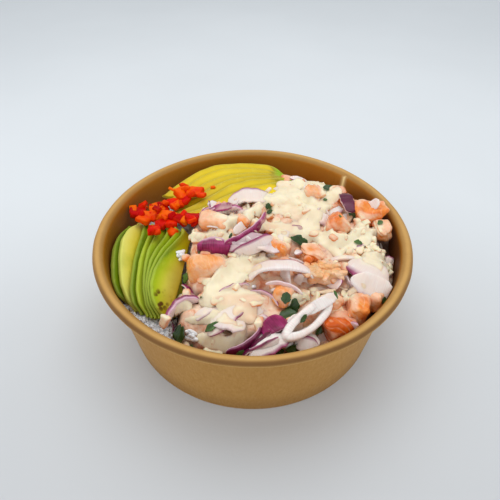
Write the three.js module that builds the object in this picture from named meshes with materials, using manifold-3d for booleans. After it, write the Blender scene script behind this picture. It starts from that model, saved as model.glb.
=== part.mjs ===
// Ceviche rice bowl: a round kraft paper bowl filled with rice, a heap of
// dressed salmon and red onion, two fans of avocado slices and chopped red chilli.
// Millimetres, +Z up. The origin is on the surface the bowl stands on, at its centre.
// +Y is the back of the bowl, -Y its front, -X its left side.
import * as THREE from 'three';
import { mergeVertices } from 'three/addons/utils/BufferGeometryUtils.js';
import Module from 'manifold-3d';

const wasm = await Module();
wasm.setup();

// ---- driving dimensions -------------------------------------------------
const RIM_R = 92.5;            // outer radius over the rolled rim
const HEIGHT = 64.5;           // bowl height over the rim
const BASE_R = 80;             // outer radius of the foot
const WALL_TOP_R = 86.9;       // outer radius of the wall just under the rim roll
const WALL_TOP_Z = 60.6;       // height at which the wall meets the roll
const WALL_T = 0.7;            // paper wall
const ROLL_A = 2.8;            // rim roll, half its width
const ROLL_B = 2.3;            // rim roll, half its height
const FOOT_W = 2.2;            // flat foot ring: wall and folded skirt together
const RECESS = 3.5;            // the base disc is set up by this much
const DISC_T = 0.8;            // base disc
const GAP = 0.35;              // free space kept between neighbouring pieces
const BOWL_SEG = 48;
const HEAP_SEG = 32;
const RICE_Z = 33;             // rice level under the mix
const RICE_LEFT_Z = 41.5;      // rice level under the front avocado fan
const CENTRE_Z = 69;           // crown of the heap

const wallOuter = (z) => BASE_R + (WALL_TOP_R - BASE_R) * z / WALL_TOP_Z;
const wallInner = (z) => wallOuter(z) - WALL_T;

// ---- colours ------------------------------------------------------------
const finish = (color, roughness) => new THREE.MeshStandardMaterial({ color, roughness, metalness: 0 });
const KRAFT = 0xb98a4c, RICE = 0xf0ebe0, MIX = 0xe9d9c4, SALMON = 0xe8975f;
const ONION = 0xe3c3cf, ONION_SKIN = 0x9c3f77, AVOCADO = 0x9db33a, AVOCADO_RIPE = 0xe2cf45, CHILLI = 0xd8290f;

// ---- small helpers ------------------------------------------------------
const smooth = (a, b, x) => { const t = Math.min(1, Math.max(0, (x - a) / (b - a))); return t * t * (3 - 2 * t); };
const rad = (d) => d * Math.PI / 180;
const relief = (x, y, k, p) => (Math.sin(x * k + p) * Math.cos(y * k * 1.13 - p) + 0.6 * Math.sin((x + y) * k * 1.9 + 2 * p) + 0.5 * Math.cos((x - 1.6 * y) * k * 1.4 - p)) / 1.6;
function seeded(n) { let s = (n * 2654435761) >>> 0; return () => { s = (s * 1664525 + 1013904223) >>> 0; return s / 4294967296; }; }

// Closed, indexed geometry with merged corners, no flat faces and the faces pointing out.
function closed(geometry) {
  const g = geometry.clone();
  g.deleteAttribute('normal'); g.deleteAttribute('uv');
  const m = mergeVertices(g, 1e-4);
  const p = m.attributes.position, src = m.index.array, idx = [];
  let vol = 0;
  const a = new THREE.Vector3(), b = new THREE.Vector3(), c = new THREE.Vector3();
  for (let i = 0; i < src.length; i += 3) {
    const [u, v, w] = [src[i], src[i + 1], src[i + 2]];
    if (u === v || v === w || u === w) continue;
    idx.push(u, v, w);
    a.fromBufferAttribute(p, u); b.fromBufferAttribute(p, v); c.fromBufferAttribute(p, w);
    vol += a.dot(b.clone().cross(c));
  }
  if (vol < 0) for (let i = 0; i < idx.length; i += 3) [idx[i + 1], idx[i + 2]] = [idx[i + 2], idx[i + 1]];
  m.setIndex(idx);
  return m;
}
const solid = (g) => new wasm.Manifold(new wasm.Mesh({
  numProp: 3, vertProperties: new Float32Array(g.attributes.position.array), triVerts: new Uint32Array(g.index.array) }));
function geometryOf(m) {
  const mesh = m.getMesh(), n = mesh.numProp, k = mesh.vertProperties.length / n, pos = new Float32Array(k * 3);
  for (let i = 0; i < k; i++) for (let j = 0; j < 3; j++) pos[i * 3 + j] = mesh.vertProperties[i * n + j];
  const g = new THREE.BufferGeometry();
  g.setAttribute('position', new THREE.BufferAttribute(pos, 3));
  g.setIndex([...mesh.triVerts]);
  return g;
}
// The same shape, with every face moved outwards by d.
function swollen(geometry, d) {
  const g = geometry.clone(), p = g.attributes.position, idx = g.index.array;
  const sum = Array.from({ length: p.count }, () => new THREE.Vector3());
  const faces = Array.from({ length: p.count }, () => []);
  const v = [0, 1, 2].map(() => new THREE.Vector3());
  for (let i = 0; i < idx.length; i += 3) {
    for (let j = 0; j < 3; j++) v[j].fromBufferAttribute(p, idx[i + j]);
    const n = v[1].clone().sub(v[0]).cross(v[2].clone().sub(v[0])).normalize();
    for (let j = 0; j < 3; j++) {
      const e1 = v[(j + 1) % 3].clone().sub(v[j]).normalize(), e2 = v[(j + 2) % 3].clone().sub(v[j]).normalize();
      sum[idx[i + j]].addScaledVector(n, Math.acos(Math.min(1, Math.max(-1, e1.dot(e2)))));
      faces[idx[i + j]].push(n);
    }
  }
  for (let i = 0; i < p.count; i++) {
    const n = sum[i].normalize();
    const least = Math.min(...faces[i].map((f) => f.dot(n)));
    const s = d / Math.max(0.45, least);
    p.setXYZ(i, p.getX(i) + n.x * s, p.getY(i) + n.y * s, p.getZ(i) + n.z * s);
  }
  return g;
}
function largest(m) {
  const parts = m.decompose();
  return parts.reduce((best, q) => (q.volume() > best.volume() ? q : best), parts[0]);
}
const boxesMeet = (a, b) => { const p = a.boundingBox(), q = b.boundingBox();
  return [0, 1, 2].every((i) => p.min[i] < q.max[i] && q.min[i] < p.max[i]); };

// ---- the bowl -----------------------------------------------------------
function bowlGeometry() {
  const rc = RIM_R - ROLL_A, zc = HEIGHT - ROLL_B, P = [];
  P.push([0, RECESS], [BASE_R - FOOT_W - 0.5, RECESS], [BASE_R - FOOT_W, 0], [BASE_R, 0]);
  P.push([wallOuter(WALL_TOP_Z * 0.5) + 0.15, WALL_TOP_Z * 0.5], [WALL_TOP_R, WALL_TOP_Z]);
  for (const d of [-112, -70, -30, 0, 30, 68, 112, 150]) P.push([rc + ROLL_A * Math.cos(rad(d)), zc + ROLL_B * Math.sin(rad(d))]);
  P.push([wallInner(WALL_TOP_Z), WALL_TOP_Z], [wallInner(RECESS + DISC_T), RECESS + DISC_T], [0, RECESS + DISC_T]);
  const g = new THREE.LatheGeometry(P.map(([r, z]) => new THREE.Vector2(r, z)), BOWL_SEG);
  g.rotateX(Math.PI / 2);
  return closed(g);
}

// A filling that fits the inside of the wall up to an uneven top.
function filling(zBottom, top, rings) {
  const FLAG = 500, P = [[0, zBottom], [wallInner(zBottom) - 0.45, zBottom], [84, FLAG]];
  for (let i = rings - 1; i > 0; i--) P.push([84 * Math.pow(i / rings, 0.9), FLAG]);
  P.push([0, FLAG]);
  const g = new THREE.LatheGeometry(P.map(([r, z]) => new THREE.Vector2(r, z)), HEAP_SEG);
  g.rotateX(Math.PI / 2);
  const c = closed(g), p = c.attributes.position;
  for (let i = 0; i < p.count; i++) {
    if (p.getZ(i) < FLAG - 1) continue;
    let x = p.getX(i), y = p.getY(i);
    const z = top(x, y), r = Math.hypot(x, y);
    if (r > 83.5) { const s = (wallInner(Math.min(z, WALL_TOP_Z)) - 0.45) / r; x *= s; y *= s; }
    p.setXYZ(i, x, y, z);
  }
  return c;
}

// Height of the heap at its edge, by azimuth, and over the whole bowl.
const EDGE = [[-180, 50], [-150, 50], [-120, 52], [-90, 54], [-60, 55], [-30, 58], [0, 61], [20, 63], [45, 57], [70, 54], [90, 53], [120, 52], [150, 50], [180, 50]];
function edgeHeight(deg) {
  for (let i = 1; i < EDGE.length; i++) if (deg <= EDGE[i][0]) {
    const [a, p] = EDGE[i - 1], [b, q] = EDGE[i];
    return p + (q - p) * (deg - a) / (b - a);
  }
  return 50;
}
function heapHeight(x, y) {
  const r = Math.hypot(x, y), b = edgeHeight(Math.atan2(y, x) * 180 / Math.PI);
  return b + (CENTRE_Z - b) * (1 - Math.min(1.2, (r / 84) ** 2));
}
const leftOfMix = (x, y) => 1 - smooth(-45, -33, x - 0.04 * y);          // 1 under the front avocado fan
const underBackFan = (x, y) => smooth(-3, 5, y - (15 + 0.46 * (x + 45))) * (1 - smooth(24, 34, x));
const riceTop = (x, y) => RICE_Z + (RICE_LEFT_Z - RICE_Z) * leftOfMix(x, y)
  + leftOfMix(x, y) * (3.5 * smooth(40, 60, -y) + 1.3 * relief(x, y, 0.21, 0.7));
const mixTop = (x, y) => {
  const free = heapHeight(x, y) - 1.5 + 1.4 * relief(x, y, 0.17, 1.9) - 9 * underBackFan(x, y);
  return Math.max(RICE_Z + 1.2, free + (24 - free) * leftOfMix(x, y));
};

// ---- food shapes ----------------------------------------------------------
const place = (g, x, y, z, rx, ry, rz) => {
  g.applyMatrix4(new THREE.Matrix4().makeRotationFromEuler(new THREE.Euler(rad(rx), rad(ry), rad(rz), 'ZYX')));
  g.translate(x, y, z);
  return g;
};
// A hand-cut cube: rounded edges, uneven sides and a slight taper.
function chunk(l, w, h, seed, power = 4.5, uneven = 0.09) {
  const rnd = seeded(seed), g = closed(new THREE.BoxGeometry(2, 2, 2, 2, 2, 2)), p = g.attributes.position;
  const taper = [0.12 * (rnd() - 0.5), 0.16 * (rnd() - 0.5), 0.25 * (rnd() - 0.5), 0.25 * (rnd() - 0.5)];
  for (let i = 0; i < p.count; i++) {
    let q = [p.getX(i), p.getY(i), p.getZ(i)];
    const n = Math.pow(q.reduce((s, c) => s + Math.abs(c) ** power, 0), 1 / power);
    q = q.map((c) => c / n * (1 + uneven * 2 * (rnd() - 0.5)));
    p.setXYZ(i, l / 2 * (q[0] * (1 + taper[0] * q[2]) + taper[2] * q[1]), w / 2 * (q[1] * (1 + taper[1] * q[0]) + taper[3] * q[2]), h / 2 * q[2]);
  }
  return g;
}
// A curved piece of an onion layer: a band t thick and w wide round an oval of
// half-widths ax and ay, its ends thinned, with the crown of the arc at the origin.
function layer(ax, ay, t, w, half, seed) {
  const rnd = seeded(seed + 90), n = Math.max(6, 2 * Math.round(half / 22)), out = [], inn = [];
  for (let i = 0; i <= n; i++) {
    const u = i / n * 2 - 1, a = rad(90 - half * u), k = t * (1 - 0.45 * u * u) , wob = 1 + 0.03 * (rnd() - 0.5);
    out.push([ax * Math.cos(a) * wob, ay * Math.sin(a) * wob - ay]);
    inn.push([(ax * wob - k) * Math.cos(a), (ay * wob - k) * Math.sin(a) - ay]);
  }
  const s = new THREE.Shape([...out, ...inn.reverse()].map(([x, y]) => new THREE.Vector2(x, y)));
  const g = new THREE.ExtrudeGeometry(s, { depth: w, bevelEnabled: false, steps: 1 });
  g.translate(0, 0, -w / 2);
  const c = closed(g), p = c.attributes.position, far = ax * Math.sin(rad(Math.min(90, half)));
  for (let i = 0; i < p.count; i++) {        // the band narrows towards its two ends
    const e = Math.abs(p.getX(i)) / far;
    p.setZ(i, p.getZ(i) * (1 - 0.38 * e * e));
  }
  return c;
}
// One avocado slice between its two tips: the skin side bows out by `bow`, the
// stone side comes back by `belly` and is hollowed where the stone lay.
function slice(tipA, tipB, side, lean, bow, belly, hollow, t) {
  const A = new THREE.Vector3(...tipA), B = new THREE.Vector3(...tipB), along = B.clone().sub(A), L = along.length();
  along.normalize();
  const flat = new THREE.Vector3(-along.y, along.x, 0).normalize().multiplyScalar(side);
  let up = flat.clone().multiplyScalar(Math.cos(rad(lean))).add(new THREE.Vector3(0, 0, Math.sin(rad(lean))));
  up.addScaledVector(along, -up.dot(along)).normalize();
  const n = 9, pts = [];
  for (let i = 0; i <= n; i++) { const u = -1 + 2 * i / n; pts.push([u, bow * (1 - Math.abs(u) ** 2.3)]); }
  for (let i = 1; i < n; i++) { const u = 1 - 2 * i / n; pts.push([u, -belly * (1 - u ** 4) + hollow * Math.exp(-(((u + 0.12) / 0.38) ** 2)) * (1 - u ** 4)]); }
  const s = new THREE.Shape(pts.map(([u, v]) => new THREE.Vector2(u * L / 2, v)));
  const g = new THREE.ExtrudeGeometry(s, { depth: t, bevelEnabled: false, steps: 1 });
  g.translate(0, 0, -t / 2);
  const p = g.attributes.position;             // slices thin out towards the tip where the fan closes
  for (let i = 0; i < p.count; i++) p.setZ(i, p.getZ(i) * (1 - 0.38 * smooth(-0.2, 1, p.getX(i) / (L / 2))));
  const third = along.clone().cross(up);
  g.applyMatrix4(new THREE.Matrix4().makeBasis(along, up, third));
  g.translate((A.x + B.x) / 2, (A.y + B.y) / 2, (A.z + B.z) / 2);
  return closed(g);
}

// ---- where each piece lies: x, y, z of its middle, then its sizes and turns ----
// salmon: length, width, height, turn about X, about Y, about Z
const SALMON_AT = [
  [-24.4, -31, 63.4, 22, 14, 13, -8, 6, 12], [-22.8, 2.7, 66, 18, 13, 12, 4, 4, -10],
  [3.2, 12.4, 67, 9, 9, 9, 5, -6, 20], [-6.3, 2.8, 66.6, 9, 8, 9, 0, 8, -15],
  [26.4, 52, 61.4, 16, 9, 8, 12, 4, -12], [38.7, 34.9, 64.4, 12, 13, 12, 8, 6, 20],
  [55, 35.3, 63.4, 11, 12, 10, 10, -4, -20], [49, 1.9, 65, 13, 14, 13, -5, 6, 15],
  [72, 17, 63.2, 20, 15, 12, 4, 5, 8], [78.6, 4.6, 59.6, 9.5, 13, 11, -4, 8, 5],
  [13.6, -19, 66, 14, 10, 10, -8, 3, -20], [32.9, -21.3, 64.4, 13, 11, 10, -6, 6, 15],
  [37.2, -34.7, 62, 20, 14, 12, -10, 5, 8], [54.5, -53.5, 56, 10, 17, 14, -12, 10, -15],
  [43, -62.5, 54.2, 17, 12, 11, -10, 8, 28], [41.6, -51.4, 58.4, 11, 9.5, 10, -10, 6, 35],
  [63, -46.6, 55.6, 9, 13, 12, -8, 10, 40], [15.9, -48.9, 61, 10, 11, 10, -8, 4, -20]];
// red onion: oval half-widths, thickness, width, half arc, turn about X, about Y, about Z
const ONION_AT = [
  [-21.4, -22.5, 66.6, 24, 24, 9, 10, 24, 6, 0, 180], [-17.5, 15.5, 69.2, 26, 26, 2.6, 7, 27, 24, 0, 6],
  [-1.8, 27.9, 70.4, 22, 20, 2, 17, 42, 84, 0, 4], [0.5, -10.5, 71, 34, 34, 2.6, 6, 33, 8, 0, -130],
  [4, -18, 71.6, 26, 22, 2, 13, 32, 80, 0, -18], [58.8, 21.9, 70.6, 20, 20, 2.4, 8.5, 30, 90, 0, 97],
  [15, -36.5, 73, 17.5, 10, 2.4, 11, 84, 99, 0, 2], [63.2, -33.5, 65.6, 19, 15, 2.2, 22, 42, 80, 8, -35],
  [20.5, -70, 61.8, 7.6, 18.5, 2.4, 7, 146, 16, -12, 137], [11.8, -66, 61.8, 9.5, 9, 2.2, 11, 60, 76, 0, 25],
  [0.5, -76.6, 57.2, 17, 17, 2.4, 6, 48, 8, 0, -135], [8.8, -74, 58.6, 15, 12, 2.2, 12, 50, 76, 0, 10],
  [-11.7, -65, 61.4, 12, 10, 2.2, 12, 50, 80, 0, -15], [-40, -52.5, 58.4, 13, 13, 3, 7, 62, 6, -6, 45],
  [27.6, -72.4, 56.4, 8.5, 7, 3, 8, 45, 86, 0, 0]];
// front avocado fan: back tip, front tip, lean, bow, belly, thickness
const FRONT_FAN_AT = [
  [[-80.2, 17.5, 50.5], [-68.5, -42.5, 45.5], 38, 9.5, 12, 4.2], [[-74.2, 19, 52], [-63.2, -49.2, 47], 38, 10, 13, 4],
  [[-69.2, 17.5, 53.6], [-59.2, -52.8, 48.4], 38, 9.5, 13, 3.2], [[-64, 14.5, 55.2], [-55.4, -55.2, 49.8], 39, 9, 13, 3],
  [[-58.8, 12, 56.5], [-52.8, -56.8, 51], 40, 8.5, 13, 2.9], [[-53.4, 9.6, 57.7], [-50.5, -57.8, 52.1], 41, 8, 13, 2.8],
  [[-48.2, 7.4, 58.9], [-48, -58.5, 53.2], 41, 8, 13, 2.8], [[-43, 5, 60.2], [-45.4, -59.3, 54.4], 40, 8.5, 12.5, 3.4]];
// back avocado fan: left tip, right tip, lean, bow, belly, thickness
const BACK_FAN_AT = [
  [[-62.5, 48, 52.4], [22.6, 66.7, 58.6], 20, 18.5, 4, 3.2], [[-58.1, 38.5, 53.8], [24.5, 63, 60], 20, 19, 5, 3],
  [[-54.6, 31.5, 55.4], [25.7, 59, 61.4], 21, 17.5, 7, 2.8], [[-51.2, 26.5, 57.1], [26.1, 55.4, 62.8], 22, 14.5, 9, 2.6],
  [[-48.2, 22.5, 58.8], [26.6, 51.6, 64.2], 23, 10.5, 13, 2.4], [[-44.8, 18.6, 60.4], [27.1, 48, 65.6], 23, 6.5, 15, 2.4]];
// chilli: length, width, height, turns
const CHILLI_AT = [
  [-74.6, 26, 55.2, 10, 8, 5, 10, 14, 20], [-67.6, 17.6, 58, 8, 10, 4.5, -12, 10, -25], [-59.4, 2.6, 61.4, 7, 10.5, 4, -20, 8, 18],
  [-61, 26, 59.4, 11, 7.5, 5, 12, -10, 10], [-51.6, 15.6, 61.8, 15, 5.5, 5, 6, 8, -8], [-49.8, 28, 62, 9, 8, 5, -10, 12, 35],
  [-46.3, 37, 63, 9.5, 9, 5, 15, 10, 50], [-38, 36, 65.4, 11, 8.5, 5.5, 10, -8, -10], [-35.4, 7.4, 66, 9.5, 8.5, 6, -8, 10, 15]];

// ---- build the pieces -----------------------------------------------------
const pieces = [];
// Each piece has its own solid, the same swollen by the gap, and the bed that it presses
// into the filling under it: a plain box round a cube, the swollen shape of anything else.
const add = (name, color, roughness, g, bed) => {
  const fat = solid(swollen(g, GAP));
  const m = solid(g);
  pieces.push({ name, color, roughness, m, fat: fat.add(m), bed: bed ? solid(bed) : fat.add(m) });
};
function bedBox(g) {
  g.computeBoundingBox();
  const b = g.boundingBox, size = new THREE.Vector3(), mid = new THREE.Vector3();
  b.getSize(size); b.getCenter(mid);
  const box = new THREE.BoxGeometry(size.x + 2 * GAP, size.y + 2 * GAP, size.z + 2 * GAP);
  box.translate(mid.x, mid.y, mid.z);
  return closed(box);
}
const no = (i) => String(i + 1).padStart(2, '0');
ONION_AT.forEach(([x, y, z, ax, ay, t, w, half, rx, ry, rz], i) =>
  add(`onion_${no(i)}`, [0, 1, 3, 5, 9, 10].includes(i) ? ONION_SKIN : ONION, 0.35, place(layer(ax, ay, t, w, half, i), x, y, z, rx, ry, rz)));
SALMON_AT.forEach(([x, y, z, l, w, h, rx, ry, rz], i) => {
  const g = chunk(l, w, h, i + 1);
  const bed = place(bedBox(g), x, y, z, rx, ry, rz);
  add(`salmon_${no(i)}`, SALMON, 0.4, place(g, x, y, z, rx, ry, rz), bed);
});
CHILLI_AT.forEach(([x, y, z, l, w, h, rx, ry, rz], i) =>
  add(`chilli_${no(i)}`, CHILLI, 0.3, place(chunk(l, w, h, i + 40, 3.4, 0.22), x, y, z, rx, ry, rz)));
for (let i = BACK_FAN_AT.length - 1; i >= 0; i--) {
  const [a, b, lean, bow, belly, t] = BACK_FAN_AT[i];
  add(`avocado_back_${no(i)}`, AVOCADO_RIPE, 0.45, slice(a, b, 1, lean, bow, belly, 5, t));
}
for (let i = FRONT_FAN_AT.length - 1; i >= 0; i--) {
  const [a, b, lean, bow, belly, t] = FRONT_FAN_AT[i];
  add(`avocado_front_${no(i)}`, AVOCADO, 0.45, slice(a, b, -1, lean, bow, belly, 4, t));
}

const bowl = bowlGeometry();
// everything inside the wall and clear of the rim
const room = (() => {
  const P = [[0, 2], [wallInner(6) - 0.45, 6], [wallInner(WALL_TOP_Z) - 0.45, WALL_TOP_Z], [wallInner(WALL_TOP_Z) - 0.3, HEIGHT + 0.5], [wallInner(WALL_TOP_Z) - 0.3, 120], [0, 120]];
  const g = new THREE.LatheGeometry(P.map(([r, z]) => new THREE.Vector2(r, z)), BOWL_SEG);
  g.rotateX(Math.PI / 2);
  return solid(closed(g));
})();
for (let i = 0; i < pieces.length; i++) {
  let m = pieces[i].m.intersect(room);
  for (let j = 0; j < i; j++) if (boxesMeet(m, pieces[j].fat)) m = m.subtract(pieces[j].fat);
  pieces[i].cut = largest(m);
}
const riceShape = filling(RECESS + DISC_T + 0.35, riceTop, 8);
let rice = solid(riceShape);
let mix = solid(filling(RICE_Z + 0.5, mixTop, 8)).intersect(room).subtract(solid(swollen(riceShape, GAP)));
for (const q of pieces) {
  if (boxesMeet(mix, q.bed)) mix = mix.subtract(q.bed);
  if (boxesMeet(rice, q.bed)) rice = rice.subtract(q.bed);
}

const group = new THREE.Group();
function show(name, geometry, color, roughness) {
  geometry.computeVertexNormals();
  const mesh = new THREE.Mesh(geometry, finish(color, roughness));
  mesh.name = name;
  group.add(mesh);
}
show('bowl', bowl, KRAFT, 0.8);
show('rice', geometryOf(largest(rice)), RICE, 0.6);
show('ceviche_mix', geometryOf(largest(mix)), MIX, 0.45);
pieces.sort((a, b) => (a.name < b.name ? -1 : 1));
for (const q of pieces) show(q.name, geometryOf(q.cut), q.color, q.roughness);

export default group;
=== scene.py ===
# Ceviche rice bowl: looks. Millimetres inside, metres when a mesh is made.
# +Y is the back of the bowl, -Y its front, -X its left side, Z up.
import bpy, math
import numpy as np
from mathutils import Vector, Matrix
from mathutils.bvhtree import BVHTree


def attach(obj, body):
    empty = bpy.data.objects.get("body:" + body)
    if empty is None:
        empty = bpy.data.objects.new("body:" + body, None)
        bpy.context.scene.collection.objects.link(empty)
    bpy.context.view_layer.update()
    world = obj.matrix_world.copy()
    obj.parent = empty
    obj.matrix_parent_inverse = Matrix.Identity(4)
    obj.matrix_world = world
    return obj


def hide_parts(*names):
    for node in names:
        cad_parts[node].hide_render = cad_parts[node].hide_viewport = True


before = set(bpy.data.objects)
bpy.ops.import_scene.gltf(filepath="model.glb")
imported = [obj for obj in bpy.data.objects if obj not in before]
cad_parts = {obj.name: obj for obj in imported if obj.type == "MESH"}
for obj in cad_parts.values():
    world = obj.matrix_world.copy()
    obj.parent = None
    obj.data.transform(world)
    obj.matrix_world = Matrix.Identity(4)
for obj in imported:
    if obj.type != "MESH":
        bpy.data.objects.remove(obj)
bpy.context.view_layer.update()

# ---------------------------------------------------------------- sizes, as in the CAD
RIM_R, HEIGHT, BASE_R = 92.5, 64.5, 80.0
WALL_TOP_R, WALL_TOP_Z, WALL_T = 86.9, 60.6, 0.7
ROLL_A, ROLL_B = 2.8, 2.3
FOOT_W, RECESS, DISC_T = 2.2, 3.5, 0.8
RICE_Z, RICE_LEFT_Z, CENTRE_Z = 33.0, 41.5, 69.0
EDGE = [(-180, 50), (-150, 50), (-120, 52), (-90, 54), (-60, 55), (-30, 58), (0, 61), (20, 63), (45, 57), (70, 54), (90, 53),
        (120, 52), (150, 50), (180, 50)]
SALMON_AT = [
    (-24.4, -31, 63.4, 22, 14, 13, -8, 6, 12), (-22.8, 2.7, 66, 18, 13, 12, 4, 4, -10),
    (3.2, 12.4, 67, 9, 9, 9, 5, -6, 20), (-6.3, 2.8, 66.6, 9, 8, 9, 0, 8, -15),
    (26.4, 52, 61.4, 16, 9, 8, 12, 4, -12), (38.7, 34.9, 64.4, 12, 13, 12, 8, 6, 20),
    (55, 35.3, 63.4, 11, 12, 10, 10, -4, -20), (49, 1.9, 65, 13, 14, 13, -5, 6, 15),
    (72, 17, 63.2, 20, 15, 12, 4, 5, 8), (78.6, 4.6, 59.6, 9.5, 13, 11, -4, 8, 5),
    (13.6, -19, 66, 14, 10, 10, -8, 3, -20), (32.9, -21.3, 64.4, 13, 11, 10, -6, 6, 15),
    (37.2, -34.7, 62, 20, 14, 12, -10, 5, 8), (54.5, -53.5, 56, 10, 17, 14, -12, 10, -15),
    (43, -62.5, 54.2, 17, 12, 11, -10, 8, 28), (41.6, -51.4, 58.4, 11, 9.5, 10, -10, 6, 35),
    (63, -46.6, 55.6, 9, 13, 12, -8, 10, 40), (15.9, -48.9, 61, 10, 11, 10, -8, 4, -20)]
ONION_AT = [
    (-21.4, -22.5, 66.6, 24, 24, 9, 10, 24, 6, 0, 180), (-17.5, 15.5, 69.2, 26, 26, 2.6, 7, 27, 24, 0, 6),
    (-1.8, 27.9, 70.4, 22, 20, 2, 17, 42, 84, 0, 4), (0.5, -10.5, 71, 34, 34, 2.6, 6, 33, 8, 0, -130),
    (4, -18, 71.6, 26, 22, 2, 13, 32, 80, 0, -18), (58.8, 21.9, 70.6, 20, 20, 2.4, 8.5, 30, 90, 0, 97),
    (15, -36.5, 73, 17.5, 10, 2.4, 11, 84, 99, 0, 2), (63.2, -33.5, 65.6, 19, 15, 2.2, 22, 42, 80, 8, -35),
    (20.5, -70, 61.8, 7.6, 18.5, 2.4, 7, 146, 16, -12, 137), (11.8, -66, 61.8, 9.5, 9, 2.2, 11, 60, 76, 0, 25),
    (0.5, -76.6, 57.2, 17, 17, 2.4, 6, 48, 8, 0, -135), (8.8, -74, 58.6, 15, 12, 2.2, 12, 50, 76, 0, 10),
    (-11.7, -65, 61.4, 12, 10, 2.2, 12, 50, 80, 0, -15), (-40, -52.5, 58.4, 13, 13, 3, 7, 62, 6, -6, 45),
    (27.6, -72.4, 56.4, 8.5, 7, 3, 8, 45, 86, 0, 0)]
FRONT_FAN_AT = [
    ((-80.2, 17.5, 50.5), (-68.5, -42.5, 45.5), 38, 9.5, 12, 4.2), ((-74.2, 19, 52), (-63.2, -49.2, 47), 38, 10, 13, 4),
    ((-69.2, 17.5, 53.6), (-59.2, -52.8, 48.4), 38, 9.5, 13, 3.2), ((-64, 14.5, 55.2), (-55.4, -55.2, 49.8), 39, 9, 13, 3),
    ((-58.8, 12, 56.5), (-52.8, -56.8, 51), 40, 8.5, 13, 2.9), ((-53.4, 9.6, 57.7), (-50.5, -57.8, 52.1), 41, 8, 13, 2.8),
    ((-48.2, 7.4, 58.9), (-48, -58.5, 53.2), 41, 8, 13, 2.8), ((-43, 5, 60.2), (-45.4, -59.3, 54.4), 40, 8.5, 12.5, 3.4)]
BACK_FAN_AT = [
    ((-62.5, 48, 52.4), (22.6, 66.7, 58.6), 20, 18.5, 4, 3.2), ((-58.1, 38.5, 53.8), (24.5, 63, 60), 20, 19, 5, 3),
    ((-54.6, 31.5, 55.4), (25.7, 59, 61.4), 21, 17.5, 7, 2.8), ((-51.2, 26.5, 57.1), (26.1, 55.4, 62.8), 22, 14.5, 9, 2.6),
    ((-48.2, 22.5, 58.8), (26.6, 51.6, 64.2), 23, 10.5, 13, 2.4), ((-44.8, 18.6, 60.4), (27.1, 48, 65.6), 23, 6.5, 15, 2.4)]
CHILLI_AT = [
    (-74.6, 26, 55.2, 10, 8, 5, 10, 14, 20), (-67.6, 17.6, 58, 8, 10, 4.5, -12, 10, -25), (-59.4, 2.6, 61.4, 7, 10.5, 4, -20, 8, 18),
    (-61, 26, 59.4, 11, 7.5, 5, 12, -10, 10), (-51.6, 15.6, 61.8, 15, 5.5, 5, 6, 8, -8), (-49.8, 28, 62, 9, 8, 5, -10, 12, 35),
    (-46.3, 37, 63, 9.5, 9, 5, 15, 10, 50), (-38, 36, 65.4, 11, 8.5, 5.5, 10, -8, -10), (-35.4, 7.4, 66, 9.5, 8.5, 6, -8, 10, 15)]

wall_outer = lambda z: BASE_R + (WALL_TOP_R - BASE_R) * z / WALL_TOP_Z
wall_inner = lambda z: wall_outer(z) - WALL_T


def smooth(a, b, x):
    t = np.clip((x - a) / (b - a), 0, 1)
    return t * t * (3 - 2 * t)


def relief(x, y, k, p):
    return (np.sin(x * k + p) * np.cos(y * k * 1.13 - p) + 0.6 * np.sin((x + y) * k * 1.9 + 2 * p)
            + 0.5 * np.cos((x - 1.6 * y) * k * 1.4 - p)) / 1.6


def heap_height(x, y):
    r = np.hypot(x, y)
    b = np.interp(np.degrees(np.arctan2(y, x)), [e[0] for e in EDGE], [e[1] for e in EDGE])
    return b + (CENTRE_Z - b) * (1 - np.minimum(1.2, (r / 84) ** 2))


left_of_mix = lambda x, y: 1 - smooth(-45, -33, x - 0.04 * y)
under_back_fan = lambda x, y: smooth(-3, 5, y - (15 + 0.46 * (x + 45))) * (1 - smooth(24, 34, x))


def rice_top(x, y):
    m = left_of_mix(x, y)
    return RICE_Z + (RICE_LEFT_Z - RICE_Z) * m + m * (3.5 * smooth(40, 60, -y) + 1.3 * relief(x, y, 0.21, 0.7))


def mix_top(x, y):
    free = heap_height(x, y) - 1.5 + 1.4 * relief(x, y, 0.17, 1.9) - 9 * under_back_fan(x, y)
    return np.maximum(RICE_Z + 1.2, free + (24 - free) * left_of_mix(x, y))


# ---------------------------------------------------------------- the camera, and the way back from its picture
CAM = np.array([0.0, -203.72, 236.82])
VIEW = np.array([[0.99995257, 0.00945367, 0.00234333], [-0.00815357, 0.68091183, 0.73232001], [-0.00532751, 0.73230438, -0.68095661]])
FOCAL, MID = 450.0, 250.0


def project(P):
    q = (np.asarray(P, float) - CAM) @ VIEW.T
    return MID + FOCAL * q[..., 0] / q[..., 2], MID - FOCAL * q[..., 1] / q[..., 2]


def ray(u, v):
    d = np.array([(u - MID) / FOCAL, (MID - v) / FOCAL, 1.0]) @ VIEW
    return d / np.linalg.norm(d)


def ray_point(u, v, z):
    """The point at height z that shows at this place in the picture."""
    d = ray(u, v)
    return CAM + d * ((z - CAM[2]) / d[2])


cam_data = bpy.data.cameras.new("camera")
cam_data.sensor_width, cam_data.lens = 36.0, 36.0 * FOCAL / 500.0
cam_data.clip_start, cam_data.clip_end = 0.01, 20
cam = bpy.data.objects.new("camera", cam_data)
bpy.context.collection.objects.link(cam)
m3 = Matrix([[VIEW[0][i], VIEW[1][i], -VIEW[2][i]] for i in range(3)])
cam.matrix_world = Matrix.Translation(Vector(CAM * 0.001)) @ m3.to_4x4()
bpy.context.scene.camera = cam


# ---------------------------------------------------------------- noise
def _lattice(ix, iy, iz, seed):
    h = (ix * 73856093) ^ (iy * 19349663) ^ (iz * 83492791) ^ (seed * 2654435761)
    h &= 0xffffffff
    h = ((h ^ (h >> 13)) * 1274126177) & 0xffffffff
    h ^= h >> 16
    h = (h * 668265263) & 0xffffffff
    h ^= h >> 15
    return h.astype(np.float64) / 2147483648.0 - 1.0


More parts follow.
